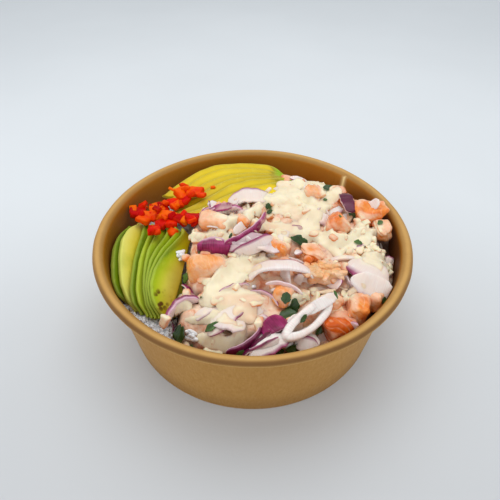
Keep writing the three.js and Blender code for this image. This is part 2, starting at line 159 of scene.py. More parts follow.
def noise(P, scale, seed=0):
    q = np.asarray(P, float) / scale + 1000.0
    i = np.floor(q).astype(np.int64)
    f = q - i
    u = f * f * f * (f * (f * 6 - 15) + 10)
    out = 0.0
    for dx in (0, 1):
        wx = u[..., 0] if dx else 1 - u[..., 0]
        for dy in (0, 1):
            wy = u[..., 1] if dy else 1 - u[..., 1]
            for dz in (0, 1):
                wz = u[..., 2] if dz else 1 - u[..., 2]
                out = out + wx * wy * wz * _lattice(i[..., 0] + dx, i[..., 1] + dy, i[..., 2] + dz, seed)
    return out


def fbm(P, scale, seed=0, octaves=3):
    out, amp, tot = 0.0, 1.0, 0.0
    for o in range(octaves):
        out = out + amp * noise(P, scale / 2 ** o, seed + 17 * o)
        tot += amp
        amp *= 0.5
    return out / tot


def noise_vec(P, scale, seed=0):
    return np.stack([noise(P, scale, seed), noise(P, scale, seed + 101), noise(P, scale, seed + 202)], -1)


# ---------------------------------------------------------------- meshes
class Shape:
    """Points in mm, quads and triangles, and one number per point for each named attribute."""

    def __init__(self, V, Q=None, T=None, A=None):
        self.V = np.asarray(V, float)
        self.Q = np.zeros((0, 4), int) if Q is None or len(Q) == 0 else np.asarray(Q, int)
        self.T = np.zeros((0, 3), int) if T is None or len(T) == 0 else np.asarray(T, int)
        self.A = A or {}

    def triangles(self):
        return np.concatenate([self.Q[:, [0, 1, 2]], self.Q[:, [0, 2, 3]], self.T])

    def normals(self):
        t = self.triangles()
        n = np.cross(self.V[t[:, 1]] - self.V[t[:, 0]], self.V[t[:, 2]] - self.V[t[:, 0]])
        out = np.zeros_like(self.V)
        for k in range(3):
            np.add.at(out, t[:, k], n)
        return out / np.maximum(1e-9, np.linalg.norm(out, axis=1))[:, None]

    def outward(self):
        t = self.triangles()
        a, b, c = self.V[t[:, 0]], self.V[t[:, 1]], self.V[t[:, 2]]
        if np.einsum("ij,ij->i", a, np.cross(b, c)).sum() < 0:
            self.Q, self.T = self.Q[:, ::-1].copy(), self.T[:, ::-1].copy()
        return self


def joined(shapes):
    V, Q, T, n = [], [], [], 0
    keys = sorted({k for s in shapes for k in s.A})
    A = {k: [] for k in keys}
    for s in shapes:
        V.append(s.V); Q.append(s.Q + n); T.append(s.T + n)
        for k in keys:
            A[k].append(np.asarray(s.A[k], float) if k in s.A else np.zeros(len(s.V)))
        n += len(s.V)
    return Shape(np.concatenate(V), np.concatenate(Q), np.concatenate(T), {k: np.concatenate(v) for k, v in A.items()})


def make(name, shape, material, nodes=()):
    shape.outward()
    me = bpy.data.meshes.new(name)
    V = shape.V * 0.001
    nq, nt = len(shape.Q), len(shape.T)
    me.vertices.add(len(V))
    me.vertices.foreach_set("co", V.astype(np.float32).ravel())
    me.loops.add(nq * 4 + nt * 3)
    me.loops.foreach_set("vertex_index", np.concatenate([shape.Q.ravel(), shape.T.ravel()]).astype(np.int32))
    me.polygons.add(nq + nt)
    me.polygons.foreach_set("loop_start", np.concatenate([np.arange(nq) * 4, nq * 4 + np.arange(nt) * 3]).astype(np.int32))
    me.update(calc_edges=True)
    me.validate()
    for k, a in shape.A.items():
        at = me.attributes.new(k, "FLOAT", "POINT")
        at.data.foreach_set("value", np.asarray(a, np.float32))
    me.polygons.foreach_set("use_smooth", np.ones(len(me.polygons), bool))
    me.materials.append(material)
    ob = bpy.data.objects.new(name, me)
    bpy.context.collection.objects.link(ob)
    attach(ob, "root")
    if nodes:
        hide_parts(*nodes)
    return ob


def turn(rx, ry, rz):
    a, b, c = (math.radians(d) for d in (rx, ry, rz))
    X = np.array([[1, 0, 0], [0, math.cos(a), -math.sin(a)], [0, math.sin(a), math.cos(a)]])
    Y = np.array([[math.cos(b), 0, math.sin(b)], [0, 1, 0], [-math.sin(b), 0, math.cos(b)]])
    Z = np.array([[math.cos(c), -math.sin(c), 0], [math.sin(c), math.cos(c), 0], [0, 0, 1]])
    return Z @ Y @ X


_cubes = {}


def cube_grid(n):
    """Points on the cube from -1 to 1 with n squares along each side, corners merged."""
    if n not in _cubes:
        g = np.linspace(-1, 1, n + 1)
        a, b = np.meshgrid(g, g, indexing="ij")
        one = np.ones_like(a)
        P, Q, k = [], [], 0
        idx = np.arange((n + 1) ** 2).reshape(n + 1, n + 1)
        for f in ((one, a, b), (-one, b, a), (b, one, a), (a, -one, b), (a, b, one), (b, a, -one)):
            P.append(np.stack([c.ravel() for c in f], -1))
            Q.append(np.stack([idx[:-1, :-1], idx[1:, :-1], idx[1:, 1:], idx[:-1, 1:]], -1).reshape(-1, 4) + k)
            k += (n + 1) ** 2
        P, Q = np.concatenate(P), np.concatenate(Q)
        key = np.round(P * 4096).astype(np.int64)
        _, first, inv = np.unique(key, axis=0, return_index=True, return_inverse=True)
        _cubes[n] = (P[first], inv.reshape(-1)[Q])
    return _cubes[n]


def rounded_box(half, r, n):
    P, Q = cube_grid(n)
    half = np.asarray(half, float)
    p = P * half
    core = np.clip(p, -(half - r), half - r)
    d = p - core
    L = np.linalg.norm(d, axis=1)
    # keep the faces flat and round only the edges and corners
    return np.where(L[:, None] > 1e-9, core + d / np.maximum(L, 1e-9)[:, None] * r, p), Q, P


def tube(path, frames, section, close_ends=True):
    """Sweeps closed sections (k, m, 2) along k points with frames (k, 2, 3). Ends close on their middle point."""
    k, m = section.shape[:2]
    V = path[:, None, :] + section[:, :, :1] * frames[:, None, 0, :] + section[:, :, 1:] * frames[:, None, 1, :]
    V = V.reshape(-1, 3)
    i = np.arange(k - 1)[:, None] * m
    j = np.arange(m)[None, :]
    jn = (j + 1) % m
    Q = np.stack([i + j, i + jn, i + m + jn, i + m + j], -1).reshape(-1, 4)
    T = []
    V = np.concatenate([V, V[:m].mean(0)[None], V[(k - 1) * m:k * m].mean(0)[None]])
    a, b = k * m, k * m + 1
    for s in range(m):
        T.append((a, (s + 1) % m, s))
        T.append((b, (k - 1) * m + s, (k - 1) * m + (s + 1) % m))
    return Shape(V, Q, T)


# ---------------------------------------------------------------- materials
def srgb(r, g, b):
    f = lambda c: (c / 255 / 12.92) if c / 255 <= 0.04045 else ((c / 255 + 0.055) / 1.055) ** 2.4
    return (f(r), f(g), f(b), 1.0)


class Mat:
    def __init__(self, name, rough=0.5, **sockets):
        self.m = bpy.data.materials.new(name)
        self.m.use_nodes = True
        self.t = self.m.node_tree
        self.t.nodes.clear()
        self.out = self.t.nodes.new("ShaderNodeOutputMaterial")
        self.b = self.t.nodes.new("ShaderNodeBsdfPrincipled")
        self.t.links.new(self.b.outputs[0], self.out.inputs[0])
        self.b.inputs["Roughness"].default_value = rough
        for k, v in sockets.items():
            self.set(self.b, k, v)
        self.xyz = self.node("ShaderNodeTexCoord").outputs["Object"]

    def set(self, node, key, v):
        s = node.inputs[key.replace("_", " ") if isinstance(key, str) else key]
        if isinstance(v, bpy.types.NodeSocket):
            self.t.links.new(v, s)
        else:
            s.default_value = v

    def node(self, kind, props=None, **inputs):
        n = self.t.nodes.new(kind)
        for k, v in (props or {}).items():
            setattr(n, k, v)
        for k, v in inputs.items():
            self.set(n, k, v)
        return n

    def attr(self, name):
        n = self.node("ShaderNodeAttribute", {"attribute_name": name})
        return n.outputs["Fac"]

    def scaled(self, s, vector=None, rotate=(0, 0, 0)):
        n = self.node("ShaderNodeMapping")
        self.t.links.new(vector or self.xyz, n.inputs["Vector"])
        n.inputs["Scale"].default_value = s if isinstance(s, tuple) else (s, s, s)
        n.inputs["Rotation"].default_value = rotate
        return n.outputs[0]

    def noise(self, scale, detail=4.0, rough=0.55, distort=0.0, vector=None):
        n = self.node("ShaderNodeTexNoise", None, Scale=scale, Detail=detail, Roughness=rough, Distortion=distort)
        self.t.links.new(vector or self.xyz, n.inputs["Vector"])
        return n.outputs["Fac"]

    def math(self, op, a, b=0.5, c=None, clamp=False):
        n = self.node("ShaderNodeMath", {"operation": op, "use_clamp": clamp})
        self.set(n, 0, a)
        self.set(n, 1, b)
        if c is not None:
            self.set(n, 2, c)
        return n.outputs[0]

    def fit(self, x, a, b, lo=0.0, hi=1.0, kind="SMOOTHSTEP"):
        n = self.node("ShaderNodeMapRange", {"interpolation_type": kind, "clamp": True} if kind == "LINEAR" else {"interpolation_type": kind})
        self.set(n, "Value", x)
        for k, v in (("From Min", a), ("From Max", b), ("To Min", lo), ("To Max", hi)):
            n.inputs[k].default_value = v
        return n.outputs[0]

    def mix(self, fac, a, b, blend="MIX"):
        n = self.node("ShaderNodeMix", {"data_type": "RGBA", "blend_type": blend})
        for i, v in ((0, fac), (6, a), (7, b)):
            s = n.inputs[i]
            if isinstance(v, bpy.types.NodeSocket):
                self.t.links.new(v, s)
            else:
                s.default_value = v
        return n.outputs[2]

    def ramp(self, fac, stops, kind="LINEAR"):
        n = self.node("ShaderNodeValToRGB")
        n.color_ramp.interpolation = kind
        e = n.color_ramp.elements
        while len(e) > 1:
            e.remove(e[-1])
        e[0].position, e[0].color = stops[0]
        for p, c in stops[1:]:
            q = e.new(p)
            q.color = c
        self.t.links.new(fac, n.inputs[0])
        return n.outputs[0]

    def bump(self, height, strength=0.3, distance=0.0003, normal=None):
        n = self.node("ShaderNodeBump", None, Strength=strength, Distance=distance, Height=height)
        if normal is not None:
            self.t.links.new(normal, n.inputs["Normal"])
        return n.outputs[0]

    def colour(self, c):
        self.set(self.b, "Base Color", c)
        return self


CREAM = srgb(243, 229, 196)
CREAM_THIN = srgb(238, 196, 164)


def kraft_material():
    m = Mat("kraft_paper", 0.55, Specular_IOR_Level=0.3)
    ring = m.attr("rim")                                   # 1 over the rolled rim, 0 on the wall
    inside = m.attr("inside")
    fibre_a = m.noise(1.0, 6, 0.62, 0.0, m.scaled((900, 900, 230)))
    fibre_b = m.noise(1.0, 5, 0.6, 0.4, m.scaled((300, 300, 1500), rotate=(0.5, 0.3, 0)))
    cloud = m.noise(28, 4, 0.55)
    blot = m.noise(95, 3, 0.6)
    base = m.ramp(m.math("ADD", m.math("MULTIPLY", fibre_a, 0.55), m.math("MULTIPLY", fibre_b, 0.45)),
                  [(0.30, srgb(164, 116, 48)), (0.46, srgb(178, 130, 60)), (0.58, srgb(184, 137, 66)), (0.74, srgb(196, 150, 80))])
    base = m.mix(m.fit(cloud, 0.35, 0.7, 0.0, 0.3), base, srgb(170, 120, 50))
    base = m.mix(m.fit(blot, 0.6, 0.8, 0.0, 0.2), base, srgb(198, 152, 84))
    fleck = m.node("ShaderNodeTexVoronoi", {"feature": "F1"}, Scale=520.0, Randomness=1.0)
    m.t.links.new(m.xyz, fleck.inputs["Vector"])
    base = m.mix(m.fit(fleck.outputs["Distance"], 0.06, 0.16, 0.35, 0.0), base, srgb(120, 80, 30))
    # the inner paper is painted a deeper, more saturated orange: partly its coating, partly painted bounce light
    # between the walls
    base = m.mix(m.math("MULTIPLY", inside, 0.86), base, srgb(183, 114, 6))
    # painted light: the rolled rim is painted lighter, as its top faces the light
    base = m.mix(m.math("MULTIPLY", ring, m.fit(m.noise(60, 4, 0.6), 0.25, 0.7, 0.5, 0.85)), base, srgb(200, 156, 88))
    base = m.mix(m.attr("shade"), base, srgb(88, 46, 6))
    # painted highlight: a bright line along the overlapping paper's edge at the side seam
    base = m.mix(m.attr("seam"), base, srgb(250, 230, 170))
    m.colour(base)
    m.set(m.b, "Roughness", m.fit(fibre_a, 0.3, 0.7, 0.62, 0.48, "LINEAR"))
    m.set(m.b, "Normal", m.bump(m.math("ADD", fibre_a, m.math("MULTIPLY", blot, 0.8)), 0.16, 0.00022))
    return m.m


def film(m, base, amount_attr="film", tint=CREAM, thin_tint=CREAM_THIN, thin_most=0.8):
    """Dressing that clings to a piece: see-through where thin, cream where thick."""
    patch = m.noise(120, 3, 0.5, 0.6)
    fine = m.noise(420, 3, 0.5)
    level = m.math("ADD", m.attr(amount_attr), m.math("ADD", m.math("MULTIPLY", m.math("SUBTRACT", patch, 0.5), 1.1),
                                                     m.math("MULTIPLY", m.math("SUBTRACT", fine, 0.5), 0.4)))
    cover = m.fit(level, 0.58, 1.05)
    thin = m.fit(level, 0.0, 0.55, 0.0, thin_most)
    base = m.mix(thin, base, thin_tint)
    return m.mix(cover, base, tint), cover


def salmon_material():
    m = Mat("salmon", 0.34, Subsurface_Weight=0.3, Subsurface_Scale=0.0015, Specular_IOR_Level=0.32)
    m.b.inputs["Subsurface Radius"].default_value = (1.0, 0.42, 0.25)
    band = m.attr("band")
    wob = m.math("ADD", band, m.math("MULTIPLY", m.math("SUBTRACT", m.noise(260, 3), 0.5), 0.8))
    saw = m.math("FRACT", wob, 0.0)
    line = m.math("ABSOLUTE", m.math("SUBTRACT", saw, 0.5), 0.0)
    fat = m.math("MULTIPLY", m.fit(line, 0.30, 0.5, 0.0, 1.0), m.fit(m.noise(130, 3), 0.38, 0.66, 0.15, 1.0))
    hue = m.noise(95, 4, 0.6, 0.6)
    flesh = m.ramp(m.math("ADD", m.math("MULTIPLY", hue, 0.8), m.math("MULTIPLY", m.math("SUBTRACT", m.attr("tone"), 0.5), 0.5)),
                   [(0.18, srgb(212, 92, 18)), (0.30, srgb(230, 118, 36)), (0.40, srgb(238, 142, 60)), (0.52, srgb(241, 164, 96)), (0.72, srgb(243, 192, 146))])
    flesh = m.mix(m.math("MULTIPLY", fat, 0.45), flesh, srgb(246, 206, 168))
    streak = m.noise(1.0, 3, 0.6, 0.2, m.scaled((700, 160, 700), rotate=(0.3, 0.2, 0.5)))
    flesh = m.mix(m.fit(streak, 0.5, 0.75, 0.0, 0.3), flesh, srgb(214, 104, 40))
    col, cover = film(m, flesh, thin_tint=srgb(239, 196, 164))
    m.colour(col)
    m.set(m.b, "Roughness", m.fit(cover, 0.0, 1.0, 0.25, 0.42, "LINEAR"))
    h = m.math("ADD", m.math("MULTIPLY", fat, -0.6), m.math("MULTIPLY", m.noise(500, 3), 0.5))
    m.set(m.b, "Normal", m.bump(h, 0.22, 0.0003))
    return m.m


def onion_material():
    m = Mat("red_onion", 0.32, Subsurface_Weight=0.4, Subsurface_Scale=0.002, Specular_IOR_Level=0.35)
    m.b.inputs["Subsurface Radius"].default_value = (1.0, 0.75, 0.8)
    skin, across, along, edgeline = m.attr("skin"), m.attr("across"), m.attr("along"), m.attr("edgeline")
    vec = m.node("ShaderNodeCombineXYZ")
    m.t.links.new(along, vec.inputs[0])
    m.t.links.new(m.math("MULTIPLY", across, 0.05), vec.inputs[1])
    vein = m.noise(1.9, 2, 0.5, 0.0, vec.outputs[0])
    flesh = m.mix(m.fit(vein, 0.35, 0.7), srgb(240, 232, 226), srgb(232, 218, 214))
    tint = m.attr("tint")                                  # how purple this piece is
    flesh = m.mix(m.math("MULTIPLY", m.fit(tint, 0.2, 1.0, 0.0, 0.45), m.fit(m.noise(110, 3), 0.3, 0.7, 0.3, 1.0)), flesh, srgb(220, 168, 190))
    purple = m.ramp(m.math("ADD", m.math("MULTIPLY", vein, 0.4), m.math("MULTIPLY", m.noise(120, 3), 0.6)),
                    [(0.3, srgb(84, 6, 40)), (0.44, srgb(128, 18, 74)), (0.58, srgb(160, 42, 104)), (0.8, srgb(192, 96, 146))])
    flesh = m.mix(m.math("MULTIPLY", m.attr("tinge"), m.fit(tint, 0.05, 0.6, 0.0, 0.6)), flesh, srgb(206, 150, 180))
    purple = m.mix(m.fit(tint, 1.1, 1.5, 0.0, 0.75), purple, srgb(62, 4, 26))
    face = m.math("MULTIPLY", m.fit(skin, 0.5, 0.9), m.fit(tint, 0.55, 0.9))
    line = m.math("MULTIPLY", m.math("MULTIPLY", edgeline, m.fit(skin, 0.2, 0.6)), m.fit(tint, 0.06, 0.25, 0.0, 0.95))
    col = m.mix(m.math("MAXIMUM", face, line), flesh, purple)
    col, cover = film(m, col, tint=srgb(242, 229, 200), thin_tint=srgb(234, 212, 196), thin_most=0.6)
    m.colour(col)
    m.set(m.b, "Roughness", m.fit(cover, 0.0, 1.0, 0.3, 0.42, "LINEAR"))
    m.set(m.b, "Normal", m.bump(m.math("ADD", vein, m.math("MULTIPLY", m.noise(500, 3), 1.2)), 0.06, 0.00015))
    return m.m


def avocado_material(name, ripe):
    m = Mat(name, 0.48, Subsurface_Weight=0.12, Subsurface_Scale=0.0012, Specular_IOR_Level=0.16)
    m.b.inputs["Subsurface Radius"].default_value = (0.9, 1.0, 0.25)
    edge, core, tone, over, green = m.attr("edge"), m.attr("core"), m.attr("tone"), m.attr("over"), m.attr("green")
    wob = m.math("MULTIPLY", m.math("SUBTRACT", m.noise(150, 3), 0.5), 1.4)
    depth = m.math("ADD", m.math("ADD", edge, wob), m.math("MULTIPLY", m.math("SUBTRACT", 0.5, green), 7.0))   # mm in from the skin side
    if ripe:
        stops = [(0.0, srgb(160, 146, 0)), (0.03, srgb(186, 162, 0)), (0.07, srgb(216, 186, 4)), (0.16, srgb(238, 210, 24)),
                 (0.5, srgb(242, 215, 36)), (1.0, srgb(236, 198, 16))]
    else:
        stops = [(0.0, srgb(96, 122, 0)), (0.03, srgb(120, 146, 0)), (0.09, srgb(150, 174, 6)), (0.2, srgb(170, 190, 22)),
                 (0.36, srgb(204, 206, 62)), (0.58, srgb(232, 226, 124)), (0.75, srgb(228, 218, 96)), (1.0, srgb(208, 184, 6))]
    col = m.ramp(m.math("DIVIDE", depth, 24.0, clamp=True), stops, "B_SPLINE")
    fibre = m.noise(1.0, 4, 0.6, 0.3, m.scaled((420, 120, 420)))
    col = m.mix(m.fit(fibre, 0.52, 0.8, 0.0, 0.3), col, srgb(226, 222, 90))
    col = m.mix(m.fit(m.noise(60, 3), 0.5, 0.78, 0.0, 0.3), col, srgb(140, 154, 16) if not ripe else srgb(206, 174, 20))
    col = m.mix(m.math("MULTIPLY", tone, m.fit(core, 0.0, 14.0, 1.0, 0.0)), col, srgb(172, 138, 0))
    # painted shade: each slice is painted dark just outside the edge of the next slice, where that slice shades it
    col = m.mix(m.math("MULTIPLY", over, 0.98 if ripe else 0.9), col, srgb(98, 80, 0) if ripe else srgb(84, 110, 0))
    # painted highlight: a lighter band along each slice's skin-side outline
    col = m.mix(m.math("MULTIPLY", m.attr("lip"), 0.6), col, srgb(246, 232, 110) if ripe else srgb(186, 204, 84))
    col = m.mix(m.fit(green, 0.8, 1.6, 0.0, 0.85), col, srgb(146, 184, 24)) if ripe else col
    spot = m.node("ShaderNodeTexVoronoi", {"feature": "F1"}, Scale=260.0, Randomness=1.0)
    m.t.links.new(m.xyz, spot.inputs["Vector"])
    dots = m.math("MULTIPLY", m.fit(spot.outputs["Distance"], 0.24, 0.50, 1.0, 0.0), m.fit(m.noise(150, 2), 0.40, 0.50))
    col = m.mix(m.math("MULTIPLY", dots, m.attr("spots")), col, srgb(88, 54, 0))
    m.colour(col)
    m.set(m.b, "Roughness", m.fit(m.noise(240, 3), 0.3, 0.7, 0.3, 0.46, "LINEAR"))
    m.set(m.b, "Normal", m.bump(m.math("ADD", m.noise(420, 4), m.math("MULTIPLY", fibre, 0.7)), 0.2, 0.00025))
    return m.m


def chilli_material():
    m = Mat("chopped_chilli", 0.42, Subsurface_Weight=0.05, Subsurface_Scale=0.001, Specular_IOR_Level=0.07)
    m.b.inputs["Subsurface Radius"].default_value = (1.0, 0.2, 0.05)
    n = m.math("ADD", m.math("MULTIPLY", m.noise(120, 3), 0.55), m.math("MULTIPLY", m.attr("tone"), 0.55))
    col = m.ramp(n, [(0.14, srgb(150, 0, 0)), (0.36, srgb(190, 0, 0)), (0.54, srgb(222, 24, 0)), (0.7, srgb(236, 76, 0)), (0.85, srgb(240, 112, 0))])
    col = m.mix(m.fit(m.attr("cut"), 0.4, 0.9, 0.0, 0.3), col, srgb(222, 56, 0))
    col = m.mix(m.fit(m.noise(480, 3), 0.58, 0.8, 0.0, 0.25), col, srgb(240, 96, 4))
    m.colour(col)
    m.set(m.b, "Normal", m.bump(m.noise(600, 4), 0.25, 0.0003))
    return m.m


def cream_material():
    m = Mat("cream_sauce", 0.36, Subsurface_Weight=0.4, Subsurface_Scale=0.0022, Specular_IOR_Level=0.35)
    m.b.inputs["Subsurface Radius"].default_value = (1.0, 0.85, 0.55)
    thick = m.attr("thick")
    n = m.math("ADD", m.math("MULTIPLY", m.noise(85, 4, 0.55, 0.5), 0.6), m.math("MULTIPLY", m.noise(420, 3), 0.2))
    col = m.ramp(n, [(0.22, srgb(234, 212, 182)), (0.38, srgb(241, 226, 194)), (0.52, srgb(245, 233, 201)), (0.66, srgb(247, 239, 214))])
    col = m.mix(m.fit(thick, -0.25, 0.34, 0.8, 0.0), col, srgb(236, 196, 164))
    m.colour(col)
    m.set(m.b, "Roughness", m.fit(m.noise(300, 3), 0.3, 0.7, 0.3, 0.44, "LINEAR"))
    m.set(m.b, "Normal", m.bump(m.noise(420, 4), 0.12, 0.0003))
    return m.m


def rice_material():
    m = Mat("rice", 0.42, Subsurface_Weight=0.4, Subsurface_Scale=0.0015, Specular_IOR_Level=0.45)
    m.b.inputs["Subsurface Radius"].default_value = (1.0, 0.95, 0.85)
    n = m.math("ADD", m.math("MULTIPLY", m.noise(90, 3), 0.5), m.math("MULTIPLY", m.attr("tone"), 0.5))
    col = m.ramp(n, [(0.2, srgb(230, 232, 234)), (0.5, srgb(240, 243, 246)), (0.8, srgb(246, 249, 252))])
    m.colour(col)
    m.set(m.b, "Roughness", m.fit(m.noise(500, 2), 0.3, 0.7, 0.32, 0.5, "LINEAR"))
    m.set(m.b, "Normal", m.bump(m.noise(900, 3), 0.15, 0.0002))
    return m.m


def mix_material():
    """The deep of the heap: juices, flakes and shade between the pieces."""
    m = Mat("dressed_mix", 0.34, Subsurface_Weight=0.25, Subsurface_Scale=0.0015)
    m.b.inputs["Subsurface Radius"].default_value = (1.0, 0.6, 0.45)
    n = m.noise(150, 5, 0.6, 0.8)
    col = m.ramp(n, [(0.32, srgb(206, 110, 62)), (0.42, srgb(226, 158, 118)), (0.50, srgb(234, 194, 164)), (0.60, srgb(240, 216, 188)), (0.72, srgb(226, 196, 190))])
    col = m.mix(m.fit(m.noise(260, 4, 0.6, 0.5), 0.60, 0.70, 0.0, 0.6), col, srgb(160, 70, 100))
    col, cover = film(m, col, thin_tint=srgb(240, 206, 178))
    # painted shade: dark where the heap dips, in the hollows and down by the wall
    col = m.mix(m.math("MULTIPLY", m.attr("deep"), 0.9), col, srgb(58, 22, 14))
    m.colour(col)
    m.set(m.b, "Normal", m.bump(m.noise(420, 5), 0.4, 0.0006))
    return m.m


def herb_material():
    m = Mat("green_herb", 0.36, Specular_IOR_Level=0.5, Subsurface_Weight=0.12, Subsurface_Scale=0.0008)
    m.b.inputs["Subsurface Radius"].default_value = (0.3, 1.0, 0.2)
    vein = m.math("ABSOLUTE", m.math("SUBTRACT", m.math("FRACT", m.attr("along"), 0.0), 0.5), 0.0)
    col = m.ramp(m.math("ADD", m.math("MULTIPLY", m.noise(320, 4), 0.7), m.math("MULTIPLY", m.attr("tone"), 0.4)),
                 [(0.2, srgb(22, 44, 14)), (0.5, srgb(44, 76, 26)), (0.8, srgb(84, 118, 46))])
    col = m.mix(m.fit(vein, 0.0, 0.07, 0.35, 0.0), col, srgb(108, 140, 70))
    m.colour(col)
    m.set(m.b, "Normal", m.bump(m.noise(900, 3), 0.3, 0.0002))
    return m.m


MAT = dict(kraft=kraft_material(), salmon=salmon_material(), onion=onion_material(), green=avocado_material("avocado_green", False),
           ripe=avocado_material("avocado_ripe", True), chilli=chilli_material(), cream=cream_material(), rice=rice_material(),
           mix=mix_material(), herb=herb_material())


# ---------------------------------------------------------------- the bowl
SEAM_AT = 47.3        # azimuth of the side seam, degrees


def bowl_shape():
    rc, zc = RIM_R - ROLL_A, HEIGHT - ROLL_B
    P, tag = [], []                                        # radius, height; what it is

    def run(pts, kind):
        for r, z in pts:
            P.append((r, z)); tag.append(kind)
    # underside of the disc, folded skirt, outer wall
    run([(r, RECESS) for r in np.linspace(0.0, BASE_R - FOOT_W - 1.4, 14)[1:]], "under")
    run([(BASE_R - FOOT_W - 0.8, RECESS - 0.1), (BASE_R - FOOT_W - 0.4, RECESS - 0.8), (BASE_R - FOOT_W, 0.7), (BASE_R - FOOT_W + 0.15, 0.18),
         (BASE_R - FOOT_W + 0.5, 0.0), (BASE_R - 0.5, 0.0), (BASE_R - 0.12, 0.12), (BASE_R + 0.02, 0.5)], "under")
    run([(wall_outer(z) + 0.15 * math.sin(math.pi * z / WALL_TOP_Z), z) for z in np.linspace(1.2, WALL_TOP_Z - 1.6, 30)], "out")
    run([(WALL_TOP_R - 0.15, WALL_TOP_Z - 0.9), (WALL_TOP_R - 0.12, WALL_TOP_Z - 0.45)], "out")
    for d in np.linspace(-122, 150, 34):
        run([(rc + ROLL_A * math.cos(math.radians(d)), zc + ROLL_B * math.sin(math.radians(d)))], "rim")
    zi = RECESS + DISC_T
    run([(wall_inner(WALL_TOP_Z) + 0.10, WALL_TOP_Z + 1.2), (wall_inner(WALL_TOP_Z), WALL_TOP_Z + 0.3)], "in")
    run([(wall_inner(z), z) for z in np.linspace(WALL_TOP_Z - 0.6, zi + 1.5, 26)], "in")
    run([(wall_inner(zi) - 0.25, zi + 0.5), (wall_inner(zi) - 0.9, zi + 0.08)], "in")
    run([(r, zi) for r in np.linspace(wall_inner(zi) - 2.0, 0.0, 12)[:-1]], "in")
    P = np.array(P)
    n, k = 360, len(P)
    a = np.linspace(0, 2 * np.pi, n, endpoint=False)
    deg = np.degrees(a)
    R = np.repeat(P[:, :1], n, 1)
    Z = np.repeat(P[:, 1:], n, 1)
    tags = np.array(tag)
    d = (deg - SEAM_AT + 180) % 360 - 180                   # the paper overlaps by about 6 mm at the seam
    step = smooth(-0.35, 0.35, d) * (1 - smooth(3.2, 5.5, d))
    step_in = smooth(-4.6, -3.9, d) * (1 - smooth(-0.4, 0.3, d))
    low = smooth(0.0, 3.0, Z) * (1 - smooth(WALL_TOP_Z - 1.0, WALL_TOP_Z + 1.0, Z))
    is_out, is_in, is_rim = (tags == "out")[:, None], (tags == "in")[:, None] & (P[:, 1] > 7)[:, None], (tags == "rim")[:, None]
    R = R + is_out * 0.32 * step[None] * low - is_in * 0.30 * step_in[None] * low + is_rim * 0.22 * np.exp(-(d / 2.6) ** 2)[None]
    X, Y = R * np.cos(a), R * np.sin(a)
    V = np.stack([X, Y, Z], -1)
    # paper is never quite true: slow waves in the wall and a finer unevenness in the roll
    slow = noise(V * np.array([1, 1, 0.35]), 46, 5) * 0.16
    fine = noise(V, 9, 6) * 0.10
    push = np.where(is_rim, 0.6 * slow + fine, np.where(is_out | is_in, slow + 0.25 * fine, 0))
    V[..., 0] += np.cos(a) * push
    V[..., 1] += np.sin(a) * push
    V[..., 2] += np.where(is_rim, 0.5 * noise(V, 33, 8) * 0.22, 0)
    V = V.reshape(-1, 3)
    i = np.arange(k - 1)[:, None] * n
    j = np.arange(n)[None, :]
    Q = np.stack([i + j, i + (j + 1) % n, i + n + (j + 1) % n, i + n + j], -1).reshape(-1, 4)
    V = np.concatenate([V, [[0, 0, RECESS]], [[0, 0, RECESS + DISC_T]]])
    c0, c1 = k * n, k * n + 1
    T = [(c0, (s + 1) % n, s) for s in range(n)] + [(c1, (k - 1) * n + s, (k - 1) * n + (s + 1) % n) for s in range(n)]
    rim = np.repeat(np.where(tags == "rim", 1.0, 0.0), n)
    inside = np.repeat(np.where(tags == "in", 1.0, 0.0), n)
    # painted highlight along the edge of the overlap, inside and faintly outside
    seam = ((tags == "in")[:, None] & (P[:, 1] > 6)[:, None]) * np.exp(-((d + 4.3) / 0.80) ** 2)[None] * smooth(30, 44, P[:, 1])[:, None]
    seam = seam + (tags == "out")[:, None] * np.exp(-(d / 0.3) ** 2)[None] * 0.35
    # shade: under the roll, low on the wall, and down inside between the paper and the food
    roll_d = np.array([math.degrees(math.atan2((z - zc) / ROLL_B, (r - rc) / ROLL_A)) if t == "rim" else 0 for (r, z), t in zip(P, tag)])
    shade = np.where(tags == "rim", 0.28 * smooth(100, 135, roll_d), 0)
    shade = shade + np.where(tags == "out", 0.30 * (1 - smooth(0, 22, P[:, 1])), 0)
    flank = np.exp(-((np.abs(((deg + 90) % 360) - 180) - 86) / 33.0) ** 2)          # widest at the two sides
    ahead = 0.25 + 0.75 * smooth(-0.1, 0.8, -np.sin(a))                             # the roll turns from the light at the front
    shade = shade[:, None] + np.where(tags == "rim", 0.80 * (1 - smooth(48, 88, roll_d)) * smooth(-15, 30, roll_d), 0)[:, None] * ahead[None]
    shade = shade + np.where(tags == "in", 0.92 * (1 - smooth(56, 66, P[:, 1])), 0)[:, None] * (0.27 + 0.80 * flank * (0.98 + 0.45 * np.cos(a)))[None]
    A = {"rim": np.append(rim, [0, 0]), "inside": np.append(inside, [0, 1]), "seam": np.append(seam.ravel(), [0, 0]),
         "shade": np.append(shade.ravel(), [0, 0.5])}
    return Shape(V, Q, T, A)


make("kraft_bowl", bowl_shape(), MAT["kraft"], ["bowl"])

# ---------------------------------------------------------------- food shapes
pieces = []        # (object name, shape, material, slot, nodes)


